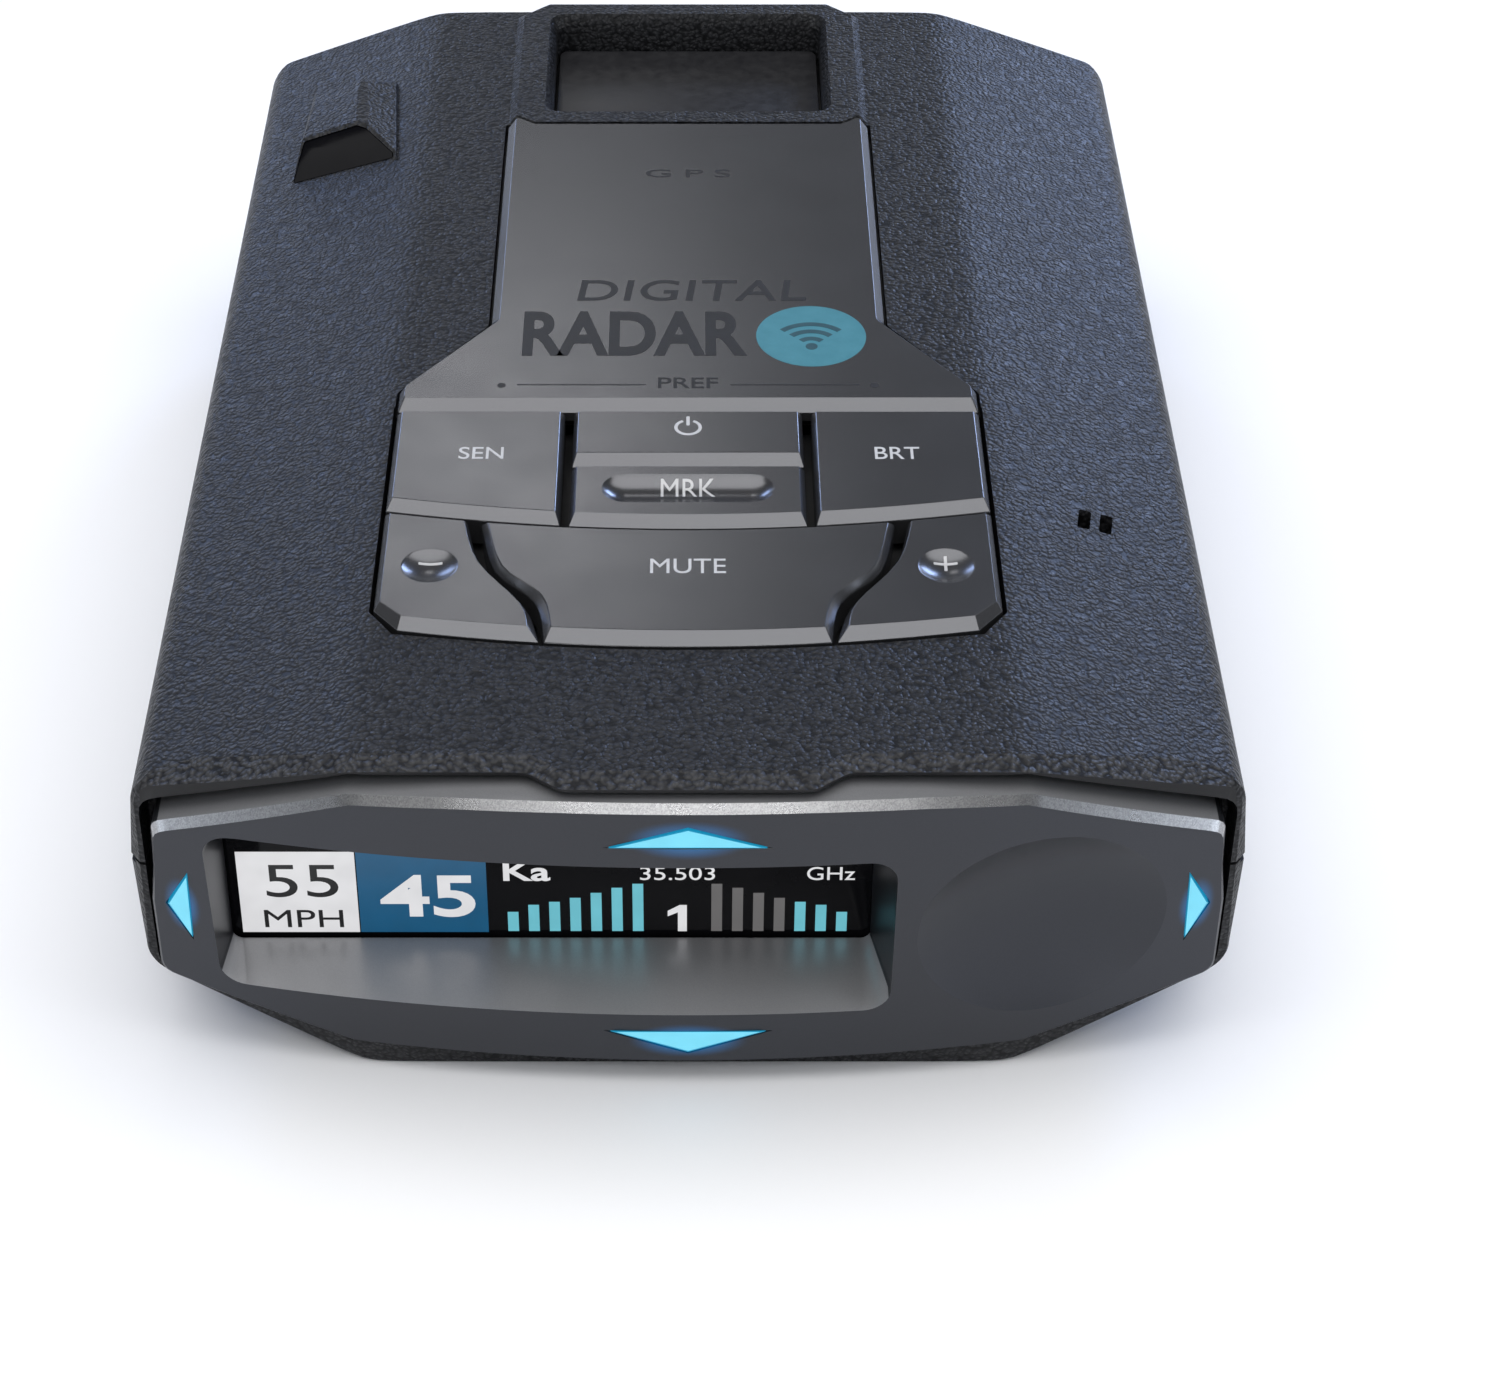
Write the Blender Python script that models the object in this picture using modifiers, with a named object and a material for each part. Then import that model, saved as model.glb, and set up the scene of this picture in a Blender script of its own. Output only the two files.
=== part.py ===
"""Windshield radar detector, modelled as an assembly of separate pieces.

Frame: metres, +Z up, origin at the middle of the underside. The display faces -Y,
towards the driver, and the antenna end faces +Y, towards the road ahead. Dimensions
in this file are millimetres, and the helper functions turn them into metres.
"""
import math

import bmesh
import bpy
from mathutils import Matrix, Vector

MM = 0.001
GAP = 0.3                      # clearance between pieces that sit against each other

# Whole body
BODY_LENGTH = 133.0
BODY_WIDTH = 90.5              # at the parting line, where the flared sides are widest
TOP_FACE_Z = 34.3              # flat top of the casing
PROUD_Z = 35.0                 # top of the fascia, buttons, mount bump and sensor hood
PARTING_Z = 20.3               # line where the two casing halves meet
WALL = 2.0

# Casing section, half of it: flat top, sloping facet, shoulder, side, underside bevel
FLAT_HALF = 26.5
FACET_SLOPE = 0.2917
SIDE_X = BODY_WIDTH / 2
SHOULDER_X = 44.5              # upper end of the flared side
LOW_SIDE_X = 44.9              # lower end of it
UNDERSIDE_HALF = 27.5

# Front rim of the casing, with a tongue in its middle
FRONT_Y = -BODY_LENGTH / 2
RIM_Y = -63.4
TONGUE_Y = -65.5
TONGUE_HALF = 9.9
TONGUE_FOOT_HALF = 12.5
RIM_SWEEP = 0.2167
RIM_DEPTH = 1.9                # how far back the rim's bevel reaches on the flat top
RIM_DEPTH_GROWTH = 0.083       # and how much further for each millimetre out on the facet
RIM_DROP = 0.4
UNDERCUT = math.tan(math.radians(5.0))

# Antenna end of the casing
REAR_TOP_Y = 60.6
NOSE_Y = BODY_LENGTH / 2
NOSE_BOW = 0.0008

# Bezel
BEZEL_TOP_Z = 32.86
BEZEL_BOTTOM_Z = 2.66
BEZEL_SIDE_X = 43.6
BEZEL_ARC_RADIUS = 186.0
BEZEL_BACK_Y = -56.6
MOUTH_BACK_Y = -55.1
BEZEL_CHAMFER = 0.66
BEZEL_EDGE = 0.2
FACE_THICKNESS = 2.2

# Display
POCKET_X = (-38.7, 16.5)
POCKET_Z = (8.6, 26.2)
POCKET_BEND_Y = -62.5          # the pocket runs straight back to here, then narrows to the screen
SCREEN_X = (-38.0, 15.0)
SCREEN_Z = (8.8, 22.2)
WINDOW_Y = -55.1

# Dish pressed into the bezel beside the display
DISH_CENTRE = (28.6, 17.2)
DISH_RADIUS = 10.3
DISH_DEPTH = 2.6
DISH_STRETCH = 1.05            # keeps the rim round as seen from the front of the curved face

# Control strip on the top face
STRIP_HALF = 18.1
STRIP_CREST_HALF = 17.35
STRIP_WIDE_HALF = 25.8
STRIP_REAR_Y = 35.4
STRIP_WIDEN_Y = -0.8
STRIP_WIDE_Y = -11.7
STRIP_FOOT_Y = -14.9
STRIP_CREST_Y = -13.5
STRIP_BOTTOM_Z = 33.4
STRIP_POCKET_Z = 33.1

# Buttons
BUTTON_TRAVEL = 0.6
BUTTON_BOTTOM_Z = 31.8
STEM_BOTTOM_Z = 28.9
STEM_SIZE = 3.0
GUIDE_Z = (30.0, 31.0)
KEYPAD_Z = (23.5, 25.1)
SWITCH_TOP_Z = STEM_BOTTOM_Z - BUTTON_TRAVEL - 0.1

# Mount recess
RECESS_HALF = 13.9
RECESS_Y = (38.6, 58.2)
RECESS_FLOOR_Z = 31.1
PLATE_THICKNESS = 1.0
MAGNET_RADIUS = 3.2
MAGNET_X = 7.5
MAGNET_HEIGHT = 1.4

# Case screws
SCREW_PLACES = {"front_left": (-34.0, -44.0), "front_right": (34.0, -44.0),
                "rear_left": (-34.0, 44.0), "rear_right": (34.0, 44.0)}
SCREW_SHANK_RADIUS = 1.2
SCREW_HEAD_RADIUS = 2.5
SCREW_HEAD_Z = (10.0, 11.7)
SCREW_END_Z = 27.0

# Boards
MAIN_BOARD_Z = (7.4, 9.0)
DISPLAY_BOARD_Y = (-51.9, -50.3)

# The casing halves are thin walls with many nearly flat faces, which the exact solver tears
THIN_WALLED = ("top_shell", "bottom_shell")

PALETTE = {
    # name: (red, green, blue), roughness, metallic
    "case_plastic": ((0.035, 0.037, 0.045), 0.62, 0.0),
    "bezel_paint": ((0.07, 0.072, 0.085), 0.38, 0.6),
    "gunmetal_paint": ((0.10, 0.105, 0.12), 0.35, 0.7),
    "black_lens": ((0.004, 0.004, 0.005), 0.08, 0.0),
    "clear_window": ((0.02, 0.02, 0.02), 0.05, 0.0),
    "screen": ((0.01, 0.02, 0.04), 0.2, 0.0),
    "arrow_lens": ((0.15, 0.72, 0.90), 0.3, 0.0),
    "steel": ((0.5, 0.5, 0.5), 0.35, 1.0),
    "dark_steel": ((0.05, 0.05, 0.055), 0.4, 0.9),
    "circuit_board": ((0.02, 0.12, 0.05), 0.5, 0.0),
    "black_plastic": ((0.02, 0.02, 0.02), 0.5, 0.0),
    "flex_film": ((0.45, 0.22, 0.05), 0.4, 0.0),
    "cast_zinc": ((0.42, 0.42, 0.43), 0.45, 1.0),
    "tinned_can": ((0.62, 0.62, 0.60), 0.3, 1.0),
    "ceramic": ((0.55, 0.50, 0.42), 0.6, 0.0),
    "paper_cone": ((0.03, 0.03, 0.03), 0.85, 0.0),
    "label_film": ((0.30, 0.30, 0.31), 0.55, 0.0),
}


def clear_scene():
    for old in list(bpy.data.objects):
        bpy.data.objects.remove(old, do_unlink=True)


def make_collection(name):
    collection = bpy.data.collections.new(name)
    bpy.context.scene.collection.children.link(collection)
    return collection


def make_material(name):
    colour, roughness, metallic = PALETTE[name]
    material = bpy.data.materials.get(name) or bpy.data.materials.new(name)
    material.use_nodes = True
    shader = material.node_tree.nodes["Principled BSDF"]
    shader.inputs["Base Color"].default_value = (*colour, 1.0)
    shader.inputs["Roughness"].default_value = roughness
    shader.inputs["Metallic"].default_value = metallic
    return material


clear_scene()
PARTS = make_collection("radar_detector")
CUTTERS = make_collection("cutters")


# ---------------------------------------------------------------- shape helpers

def place(name, mesh, material=None, location=(0.0, 0.0, 0.0), rotation=(0.0, 0.0, 0.0)):
    """Makes a part, or a cutter where no material is given."""
    made = bpy.data.objects.new(name, mesh)
    made.location = Vector(location) * MM
    made.rotation_euler = rotation
    if material:
        PARTS.objects.link(made)
        made.data.materials.append(make_material(material))
    else:
        CUTTERS.objects.link(made)
        made.hide_render = True
        made.display_type = "WIRE"
    return made


def finish_mesh(bm, name, smooth_angle=None):
    bmesh.ops.recalc_face_normals(bm, faces=bm.faces)
    mesh = bpy.data.meshes.new(name)
    bm.to_mesh(mesh)
    bm.free()
    if smooth_angle:
        mesh.shade_smooth()
        mesh.set_sharp_from_angle(angle=math.radians(smooth_angle))
    return mesh


def box(name, low, high, material=None):
    """A block between two opposite corners."""
    centre = [(a + b) / 2 for a, b in zip(low, high)]
    size = [(b - a) * MM for a, b in zip(low, high)]
    bm = bmesh.new()
    bmesh.ops.create_cube(bm, size=1.0, matrix=Matrix.Diagonal((*size, 1.0)))
    return place(name, finish_mesh(bm, name), material, centre)


def cylinder(name, radius, low, high, centre, material=None, sides=24, top_radius=None):
    """An upright cylinder, or a cone where top_radius is given."""
    top_radius = radius if top_radius is None else top_radius
    bm = bmesh.new()
    bmesh.ops.create_cone(bm, cap_ends=True, segments=sides, radius1=radius * MM,
                          radius2=top_radius * MM, depth=(high - low) * MM)
    mesh = finish_mesh(bm, name, 40)
    return place(name, mesh, material, (centre[0], centre[1], (low + high) / 2))


def ball(name, radius, centre, material=None, segments=24, rings=12):
    bm = bmesh.new()
    bmesh.ops.create_uvsphere(bm, u_segments=segments, v_segments=rings, radius=radius * MM)
    return place(name, finish_mesh(bm, name, 60), material, centre)


def outline_solid(name, outline, axis, low, high, material=None, holes=()):
    """A flat outline given thickness along an axis, from a filled 2D curve.

    The outline's two coordinates are (x, y) for axis Z, (x, z) for Y and (y, z) for X.
    """
    curve = bpy.data.curves.new(name, "CURVE")
    curve.dimensions = "2D"
    curve.fill_mode = "BOTH"
    curve.extrude = (high - low) / 2 * MM
    for loop in [outline, *holes]:
        spline = curve.splines.new("POLY")
        spline.points.add(len(loop) - 1)
        for point, (u, v) in zip(spline.points, loop):
            point.co = (u * MM, v * MM, 0.0, 1.0)
        spline.use_cyclic_u = True
    middle = (low + high) / 2 * MM
    turn = {
        "Z": Matrix.Translation((0, 0, middle)),
        "Y": Matrix.Translation((0, middle, 0)) @ Matrix.Rotation(math.pi / 2, 4, "X"),
        "X": Matrix.Translation((middle, 0, 0)) @ Matrix(
            ((0, 0, 1, 0), (1, 0, 0, 0), (0, 1, 0, 0), (0, 0, 0, 1))),
    }[axis]
    drawn = bpy.data.objects.new(name, curve)
    CUTTERS.objects.link(drawn)
    bpy.context.view_layer.update()
    graph = bpy.context.evaluated_depsgraph_get()
    mesh = bpy.data.meshes.new_from_object(drawn.evaluated_get(graph))
    bpy.data.objects.remove(drawn, do_unlink=True)
    bm = bmesh.new()
    bm.from_mesh(mesh)
    bmesh.ops.remove_doubles(bm, verts=bm.verts, dist=0.00001)
    bmesh.ops.transform(bm, matrix=turn, verts=bm.verts)
    return place(name, finish_mesh(bm, name), material)


def loft(name, rings, material=None, pairs=0, smooth_angle=None):
    """Skins rings of points, which have equal counts, and closes both ends.

    With pairs given, a ring runs along the top from left to right, down the right side,
    back along the bottom and up the left side, and its end is closed by strips between
    the top points and the bottom points under them.
    """
    count = len(rings[0])
    bm = bmesh.new()
    skin = [[bm.verts.new(Vector(point) * MM) for point in ring] for ring in rings]
    for near, far in zip(skin, skin[1:]):
        for i in range(count):
            j = (i + 1) % count
            bm.faces.new((near[i], near[j], far[j], far[i]))
    for ring in (skin[0], skin[-1]):
        if not pairs:
            bm.faces.new(ring)
            continue
        sides = count // 2 - pairs
        bottom = ring[pairs + sides:2 * pairs + sides][::-1]
        for i in range(pairs - 1):
            bm.faces.new((ring[i], ring[i + 1], bottom[i + 1], bottom[i]))
        if sides:
            bm.faces.new(ring[pairs - 1:pairs + sides + 1])
            bm.faces.new([*ring[2 * pairs + sides - 1:], ring[0]])
    return place(name, finish_mesh(bm, name, smooth_angle), material)


def turned(name, profile, centre, material=None, steps=32):
    """A round piece: a closed profile of (radius, height), spun about its own Z axis."""
    mesh = bpy.data.meshes.new(name)
    points = [(r * MM, 0.0, z * MM) for r, z in profile]
    count = len(points)
    on_axis = profile[0][0] == 0.0 and profile[-1][0] == 0.0
    edges = [(i, i + 1) for i in range(count - 1)]
    if not on_axis:
        edges.append((count - 1, 0))
    mesh.from_pydata(points, edges, [])
    made = place(name, mesh, material, centre)
    screw = made.modifiers.new("spin", "SCREW")
    screw.steps = steps
    screw.render_steps = steps
    screw.use_merge_vertices = True
    screw.merge_threshold = 0.00001
    return made


def rounded(corners, steps=4):
    """Corners given as (u, v, radius) become an outline whose corners are arcs."""
    outline = []
    for index, (u, v, radius) in enumerate(corners):
        here = Vector((u, v))
        if radius <= 0:
            outline.append((u, v))
            continue
        back = (Vector(corners[index - 1][:2]) - here).normalized()
        ahead = (Vector(corners[(index + 1) % len(corners)][:2]) - here).normalized()
        half = back.angle(ahead) / 2
        centre = here + (back + ahead).normalized() * (radius / math.sin(half))
        first = here + back * (radius / math.tan(half)) - centre
        sweep = first.angle_signed(here + ahead * (radius / math.tan(half)) - centre)
        for step in range(steps + 1):
            arm = first.copy()
            arm.rotate(Matrix.Rotation(-sweep * step / steps, 2))
            outline.append(tuple(centre + arm))
    return outline


def rounded_box(x, y, radius, steps=4):
    corners = [(x[0], y[0], radius), (x[1], y[0], radius), (x[1], y[1], radius), (x[0], y[1], radius)]
    return rounded(corners, steps)


def mirrored(outline):
    return [(-u, *rest) for u, *rest in reversed(outline)]


def combine(target, tool, operation):
    modifier = target.modifiers.new(tool.name, "BOOLEAN")
    modifier.operation = operation
    modifier.solver = "MANIFOLD" if target.name in THIN_WALLED else "EXACT"
    modifier.object = tool


def cut(target, *tools):
    for tool in tools:
        combine(target, tool, "DIFFERENCE")


def join(target, *tools):
    for tool in tools:
        combine(target, tool, "UNION")


# ---------------------------------------------------------------- casing form

def facet_z(x):
    """Height of the casing's top surface: flat in the middle, falling beyond it."""
    return TOP_FACE_Z - max(0.0, abs(x) - FLAT_HALF) * FACET_SLOPE


def casing_section():
    """Half of the casing's section: top points, side points and bottom points."""
    top = [(0.0, TOP_FACE_Z), (TONGUE_HALF, TOP_FACE_Z), (TONGUE_FOOT_HALF, TOP_FACE_Z),
           (FLAT_HALF, TOP_FACE_Z), (34.5, facet_z(34.5)), (41.6, facet_z(41.6)),
           (43.2, 29.1), (44.2, 28.3), (SHOULDER_X, 27.1)]
    side = [(SIDE_X, PARTING_Z)]
    bottom = [(0.0, 0.0), (9.0, 0.0), (18.0, 0.0), (UNDERSIDE_HALF, 0.0), (34.5, 3.43),
              (41.0, 6.62), (43.4, 7.8), (44.5, 8.8), (LOW_SIDE_X, 10.2)]
    return top, side, bottom


def whole_ring(half_top, half_side, half_bottom):
    """Mirrors half sections of (x, y, z) points into one ring."""
    top = mirrored(half_top[1:]) + half_top
    bottom = list(reversed(half_bottom)) + [(-x, y, z) for x, y, z in half_bottom[1:]]
    left = [(-x, y, z) for x, y, z in reversed(half_side)]
    return top + half_side + bottom + left


def casing_ring(y_of, inset=0.0, squeeze=None):
    """One ring of the casing, with y_of giving each point's place along the body."""
    middle = TOP_FACE_Z / 2
    parts = []
    for group, points in zip(("top", "side", "bottom"), casing_section()):
        row = []
        for x, z in points:
            y = y_of(group, x, z)
            if squeeze:
                x, z = squeeze(group, x, z)
            x *= 1 - inset / SIDE_X
            z = middle + (z - middle) * (1 - inset / middle)
            row.append((x, y, z))
        parts.append(row)
    return whole_ring(*parts)


def rim_front(group, x, z):
    """Front edge of the casing: a tongue in the middle, swept back at the sides."""
    sweep = max(0.0, x - FLAT_HALF) * RIM_SWEEP
    if group == "top":
        start = TONGUE_Y if x <= TONGUE_HALF else RIM_Y
        return start + sweep + (TOP_FACE_Z - z) * UNDERCUT * 0.5
    start = RIM_Y if group == "side" else RIM_Y - 1.0
    return start + sweep + (TOP_FACE_Z - z) * UNDERCUT


def rim_crest(group, x, z):
    """Where the rim's bevel meets the casing's surface."""
    depth = 0.5
    if group == "top" and x < 43.0:
        depth = RIM_DEPTH + RIM_DEPTH_GROWTH * max(0.0, x - FLAT_HALF)
    return rim_front(group, x, z) + depth


def rim_squeeze(group, x, z):
    """The rim's front edge sits a little inside the casing's surface."""
    if group == "top" and x < 43.0:
        return x, z - RIM_DROP
    if group == "bottom":
        return x - 0.2, z + 0.2
    return x - 0.3, z


def rear_crest(group, x, z):
    """Edge where the top, sides and underside turn down to the nose."""
    sweep = max(0.0, x - FLAT_HALF) * 0.15
    if group == "top":
        return REAR_TOP_Y - sweep - (0.6 if x > 43 else 0.0) - (0.9 if x > 44 else 0.0)
    if group == "side":
        return 56.8
    return 61.6 - max(0.0, x - UNDERSIDE_HALF) * 0.28


def shoulder_y(group, x, z):
    """Halfway round the nose's upper and side edges."""
    if group == "top":
        return 64.0 - max(0.0, x - FLAT_HALF) * 0.20
    if group == "side":
        return 60.4
    return 64.6 - max(0.0, x - UNDERSIDE_HALF) * 0.25


def shoulder_squeeze(group, x, z):
    if group == "top":
        return x * 0.985, min(z, 30.0 - max(0.0, x - FLAT_HALF) * 0.2)
    if group == "side":
        return x * 0.985, z
    return x * 0.98, max(z, 3.4)


def nose_y(group, x, z):
    return NOSE_Y - x * x * NOSE_BOW - max(0.0, x - FLAT_HALF) * 0.24


def nose_squeeze(group, x, z):
    if group == "top":
        return x * 0.93, min(z, 24.0)
    if group == "side":
        return x * 0.93, z * 0.85
    return x * 0.93, max(z, 9.4)


def casing_form(name, inset=0.0, material=None):
    """The whole casing's outer form, or its cavity where an inset is given."""
    top, side, _ = casing_section()
    pairs = 2 * len(top) - 1
    if inset:
        rings = [casing_ring(lambda group, x, z: BEZEL_BACK_Y - 1.0, inset)]
    else:
        rings = [casing_ring(rim_front, squeeze=rim_squeeze), casing_ring(rim_crest)]
    back = inset * 0.9
    rings += [
        casing_ring(lambda *at: rear_crest(*at) - back, inset),
        casing_ring(lambda *at: shoulder_y(*at) - back, inset, shoulder_squeeze),
        casing_ring(lambda *at: nose_y(*at) - back, inset, nose_squeeze),
    ]
    return loft(name, rings, material, pairs=pairs, smooth_angle=12)


# ---------------------------------------------------------------- bezel form

def face_y(x, z):
    """The bezel's face: an arc in plan, leaning back towards its foot."""
    return FRONT_Y + x * x / (2 * BEZEL_ARC_RADIUS) + (32.7 - z) * UNDERCUT


def bezel_section(grow=0.0):
    """Half outline of the bezel, grown outwards all round: top, side and bottom points."""
    top = [(0.0, BEZEL_TOP_Z), (9.0, 32.83), (18.4, 32.66), (22.5, 32.42), (26.5, 32.17),
           (32.0, 30.16), (37.0, 28.33), (42.0, 26.5), (42.6, 26.1), (42.85, 25.3)]
    side = [(43.1, 21.0), (43.5, 17.4)]
    bottom = [(0.0, BEZEL_BOTTOM_Z), (9.0, 2.74), (18.4, 2.87), (23.0, 2.96), (27.9, 3.05),
              (33.0, 4.94), (37.5, 6.6), (42.4, 8.35), (43.3, 8.9), (BEZEL_SIDE_X, 9.8)]
    wide = (BEZEL_SIDE_X + grow) / BEZEL_SIDE_X
    return ([(x * wide, z + grow) for x, z in top], [(x * wide, z) for x, z in side],
            [(x * wide, z - grow) for x, z in bottom])


def bezel_ring(y_of, grow=0.0, top_drop=0.0, edge=0.0):
    """One ring of the bezel. top_drop lowers the top points, edge draws the rest in."""
    top, side, bottom = bezel_section(grow - edge)
    half_top = [(x, y_of(x, z - top_drop), z - top_drop) for x, z in top]
    half_side = [(x, y_of(x, z), z) for x, z in side]
    half_bottom = [(x, y_of(x, z), z) for x, z in bottom]
    return whole_ring(half_top, half_side, half_bottom)


def mouth_ring(y):
    """One ring of the casing's opening, which clears the bezel all round."""
    top = [(0.0, 33.6), (9.0, 33.6), (18.4, 33.6), (22.5, 33.6), (26.5, 33.6), (32.0, 31.66),
           (37.0, 29.9), (42.4, 28.0), (43.3, 27.3), (43.85, 26.3)]
    side = [(43.9, 21.0), (43.95, 17.4)]
    bottom = [(0.0, 2.3), (9.0, 2.4), (18.4, 2.5), (23.0, 2.6), (27.7, 2.7),
              (33.0, 4.59), (37.5, 6.19), (42.6, 8.0), (43.6, 8.6), (43.95, 9.6)]
    return whole_ring([(x, y, z) for x, z in top], [(x, y, z) for x, z in side],
                      [(x, y, z) for x, z in bottom])


def bezel_pairs():
    return 2 * len(bezel_section()[0]) - 1


def bezel_form(name, material):
    """Solid bezel with its chamfered front edge, before it is hollowed."""
    rings = [
        bezel_ring(face_y, top_drop=BEZEL_CHAMFER - BEZEL_EDGE, edge=BEZEL_EDGE),
        bezel_ring(lambda x, z: face_y(x, z) + (BEZEL_CHAMFER if z > 18 else BEZEL_EDGE)),
        bezel_ring(lambda x, z: BEZEL_BACK_Y),
    ]
    return loft(name, rings, material, pairs=bezel_pairs(), smooth_angle=12)


def arc_block(name, x_span, z_span, depth, back_y, columns=8):
    """A block whose front follows the bezel's face, a given depth behind it."""
    xs = [x_span[0] + (x_span[1] - x_span[0]) * i / columns for i in range(columns + 1)]
    top, bottom = z_span[1], z_span[0]
    front = [(x, face_y(x, top) + depth, top) for x in xs]
    front += [(x, face_y(x, bottom) + depth, bottom) for x in reversed(xs)]
    back = [(x, back_y, z) for x, _, z in front]
    return loft(name, [front, back], pairs=len(xs))


def face_frame(x, z, depth=0.0):
    """A matrix on the bezel's face: its Z axis points out of the face, at a depth behind it."""
    slope = x / BEZEL_ARC_RADIUS
    out = Vector((slope, -1.0, -UNDERCUT)).normalized()
    turn = out.to_track_quat("Z", "Y").to_matrix().to_4x4()
    here = Vector((x, face_y(x, z), z)) - out * depth
    return Matrix.Translation(here * MM) @ turn


# ---------------------------------------------------------------- top casing

def strip_outline(half, wide_half, rear_y, foot_y):
    """The control strip: a narrow spine that widens towards the buttons."""
    notch = 0.8 if half < STRIP_HALF else 0.0
    right = [(wide_half, foot_y), (wide_half, STRIP_WIDE_Y), (half, STRIP_WIDEN_Y),
             (half, rear_y + 0.6 + notch), (15.4, rear_y)]
    return right + mirrored(right)


def bump_ring(half, z, rear_y):
    """One level of the raised surround of the mount recess."""
    front = STRIP_REAR_Y + 1.5 * GAP
    notch = 0.8 if half < STRIP_HALF else 0.0
    right = [(15.4, front), (half, front + 0.6 + notch), (half, rear_y - 2.5), (half - 2.6, rear_y)]
    left = mirrored(right)
    return [(x, y, z) for x, y in right + left]


def frustum(name, x, y, low, high, flare, radius):
    """A rounded block whose top is wider than its bottom."""
    below = rounded_box(x, y, radius)
    above = rounded_box((x[0] - flare, x[1] + flare), (y[0] - flare, y[1] + flare), radius)
    return loft(name, [[(u, v, low) for u, v in below], [(u, v, high) for u, v in above]])


# The sensor hood's outlines are (x, height above the facet); its front face leans back
HOOD_FRONT_Y = 30.7
HOOD_LEAN = 2.0
HOOD_OUTLINE = [(-40.1, -1.0), (-29.0, -1.0), (-29.2, 0.5), (-32.3, 2.39), (-33.4, 2.71), (-39.0, 2.55)]
HOOD_BACK = [(-39.5, 49.4, -1.0), (-29.7, 47.4, -1.0), (-30.2, 45.6, 0.5), (-33.0, 44.8, 2.19),
             (-33.8, 44.6, 2.55), (-38.5, 44.2, 2.45)]
MOUTH_OUTLINE = [(-39.7, 0.15), (-29.7, 0.15), (-32.35, 2.05), (-33.45, 2.38), (-38.75, 2.22)]
LENS_OUTLINE = [(-39.4, 0.3), (-30.3, 0.3), (-32.55, 1.85), (-33.55, 2.1), (-38.5, 1.95)]
RECEIVER_WELL = [(-38.6, 0.5), (-31.8, 0.5), (-33.0, 1.55), (-33.8, 1.7), (-38.2, 1.6)]
RECEIVER_OUTLINE = [(-37.0, 0.8), (-35.0, 0.8), (-35.0, 1.5), (-37.0, 1.5)]


def hood_plane(outline, setback):
    """An outline on a plane parallel to the hood's front face, set back along Y."""
    return [(x, HOOD_FRONT_Y + HOOD_LEAN * height + setback, facet_z(x) + height)
            for x, height in outline]


def hood_prism(name, outline, near, far, material=None):
    return loft(name, [hood_plane(outline, near), hood_plane(outline, far)], material)


def hood_solid(name):
    """Raised hood over the rearward laser sensor, on the left facet."""
    back = [(x, y, facet_z(x) + height) for x, y, height in HOOD_BACK]
    return loft(name, [hood_plane(HOOD_OUTLINE, 0.0), back])


def button_block_outline(margin):
    """Opening in the casing around the seven buttons."""
    half = STRIP_WIDE_HALF + margin
    right = [(half, STRIP_FOOT_Y + 1.0), (half, -43.6), (23.7 + margin, -46.2 - margin),
             (16.0, foot_row_two(16.0) - margin), (8.0, foot_row_two(8.0) - margin),
             (0.0, foot_row_two(0.0) - margin)]
    return right + mirrored(right[:-1])


def foot_row_two(x):
    return -48.3 + 0.0038 * x * x


def crest_row_two(x):
    return -47.0 + 0.0035 * x * x


def foot_row_one(x):
    return -32.25 + 0.0037 * x * x


def crest_row_one(x):
    return -31.1 + 0.0038 * x * x


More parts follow.
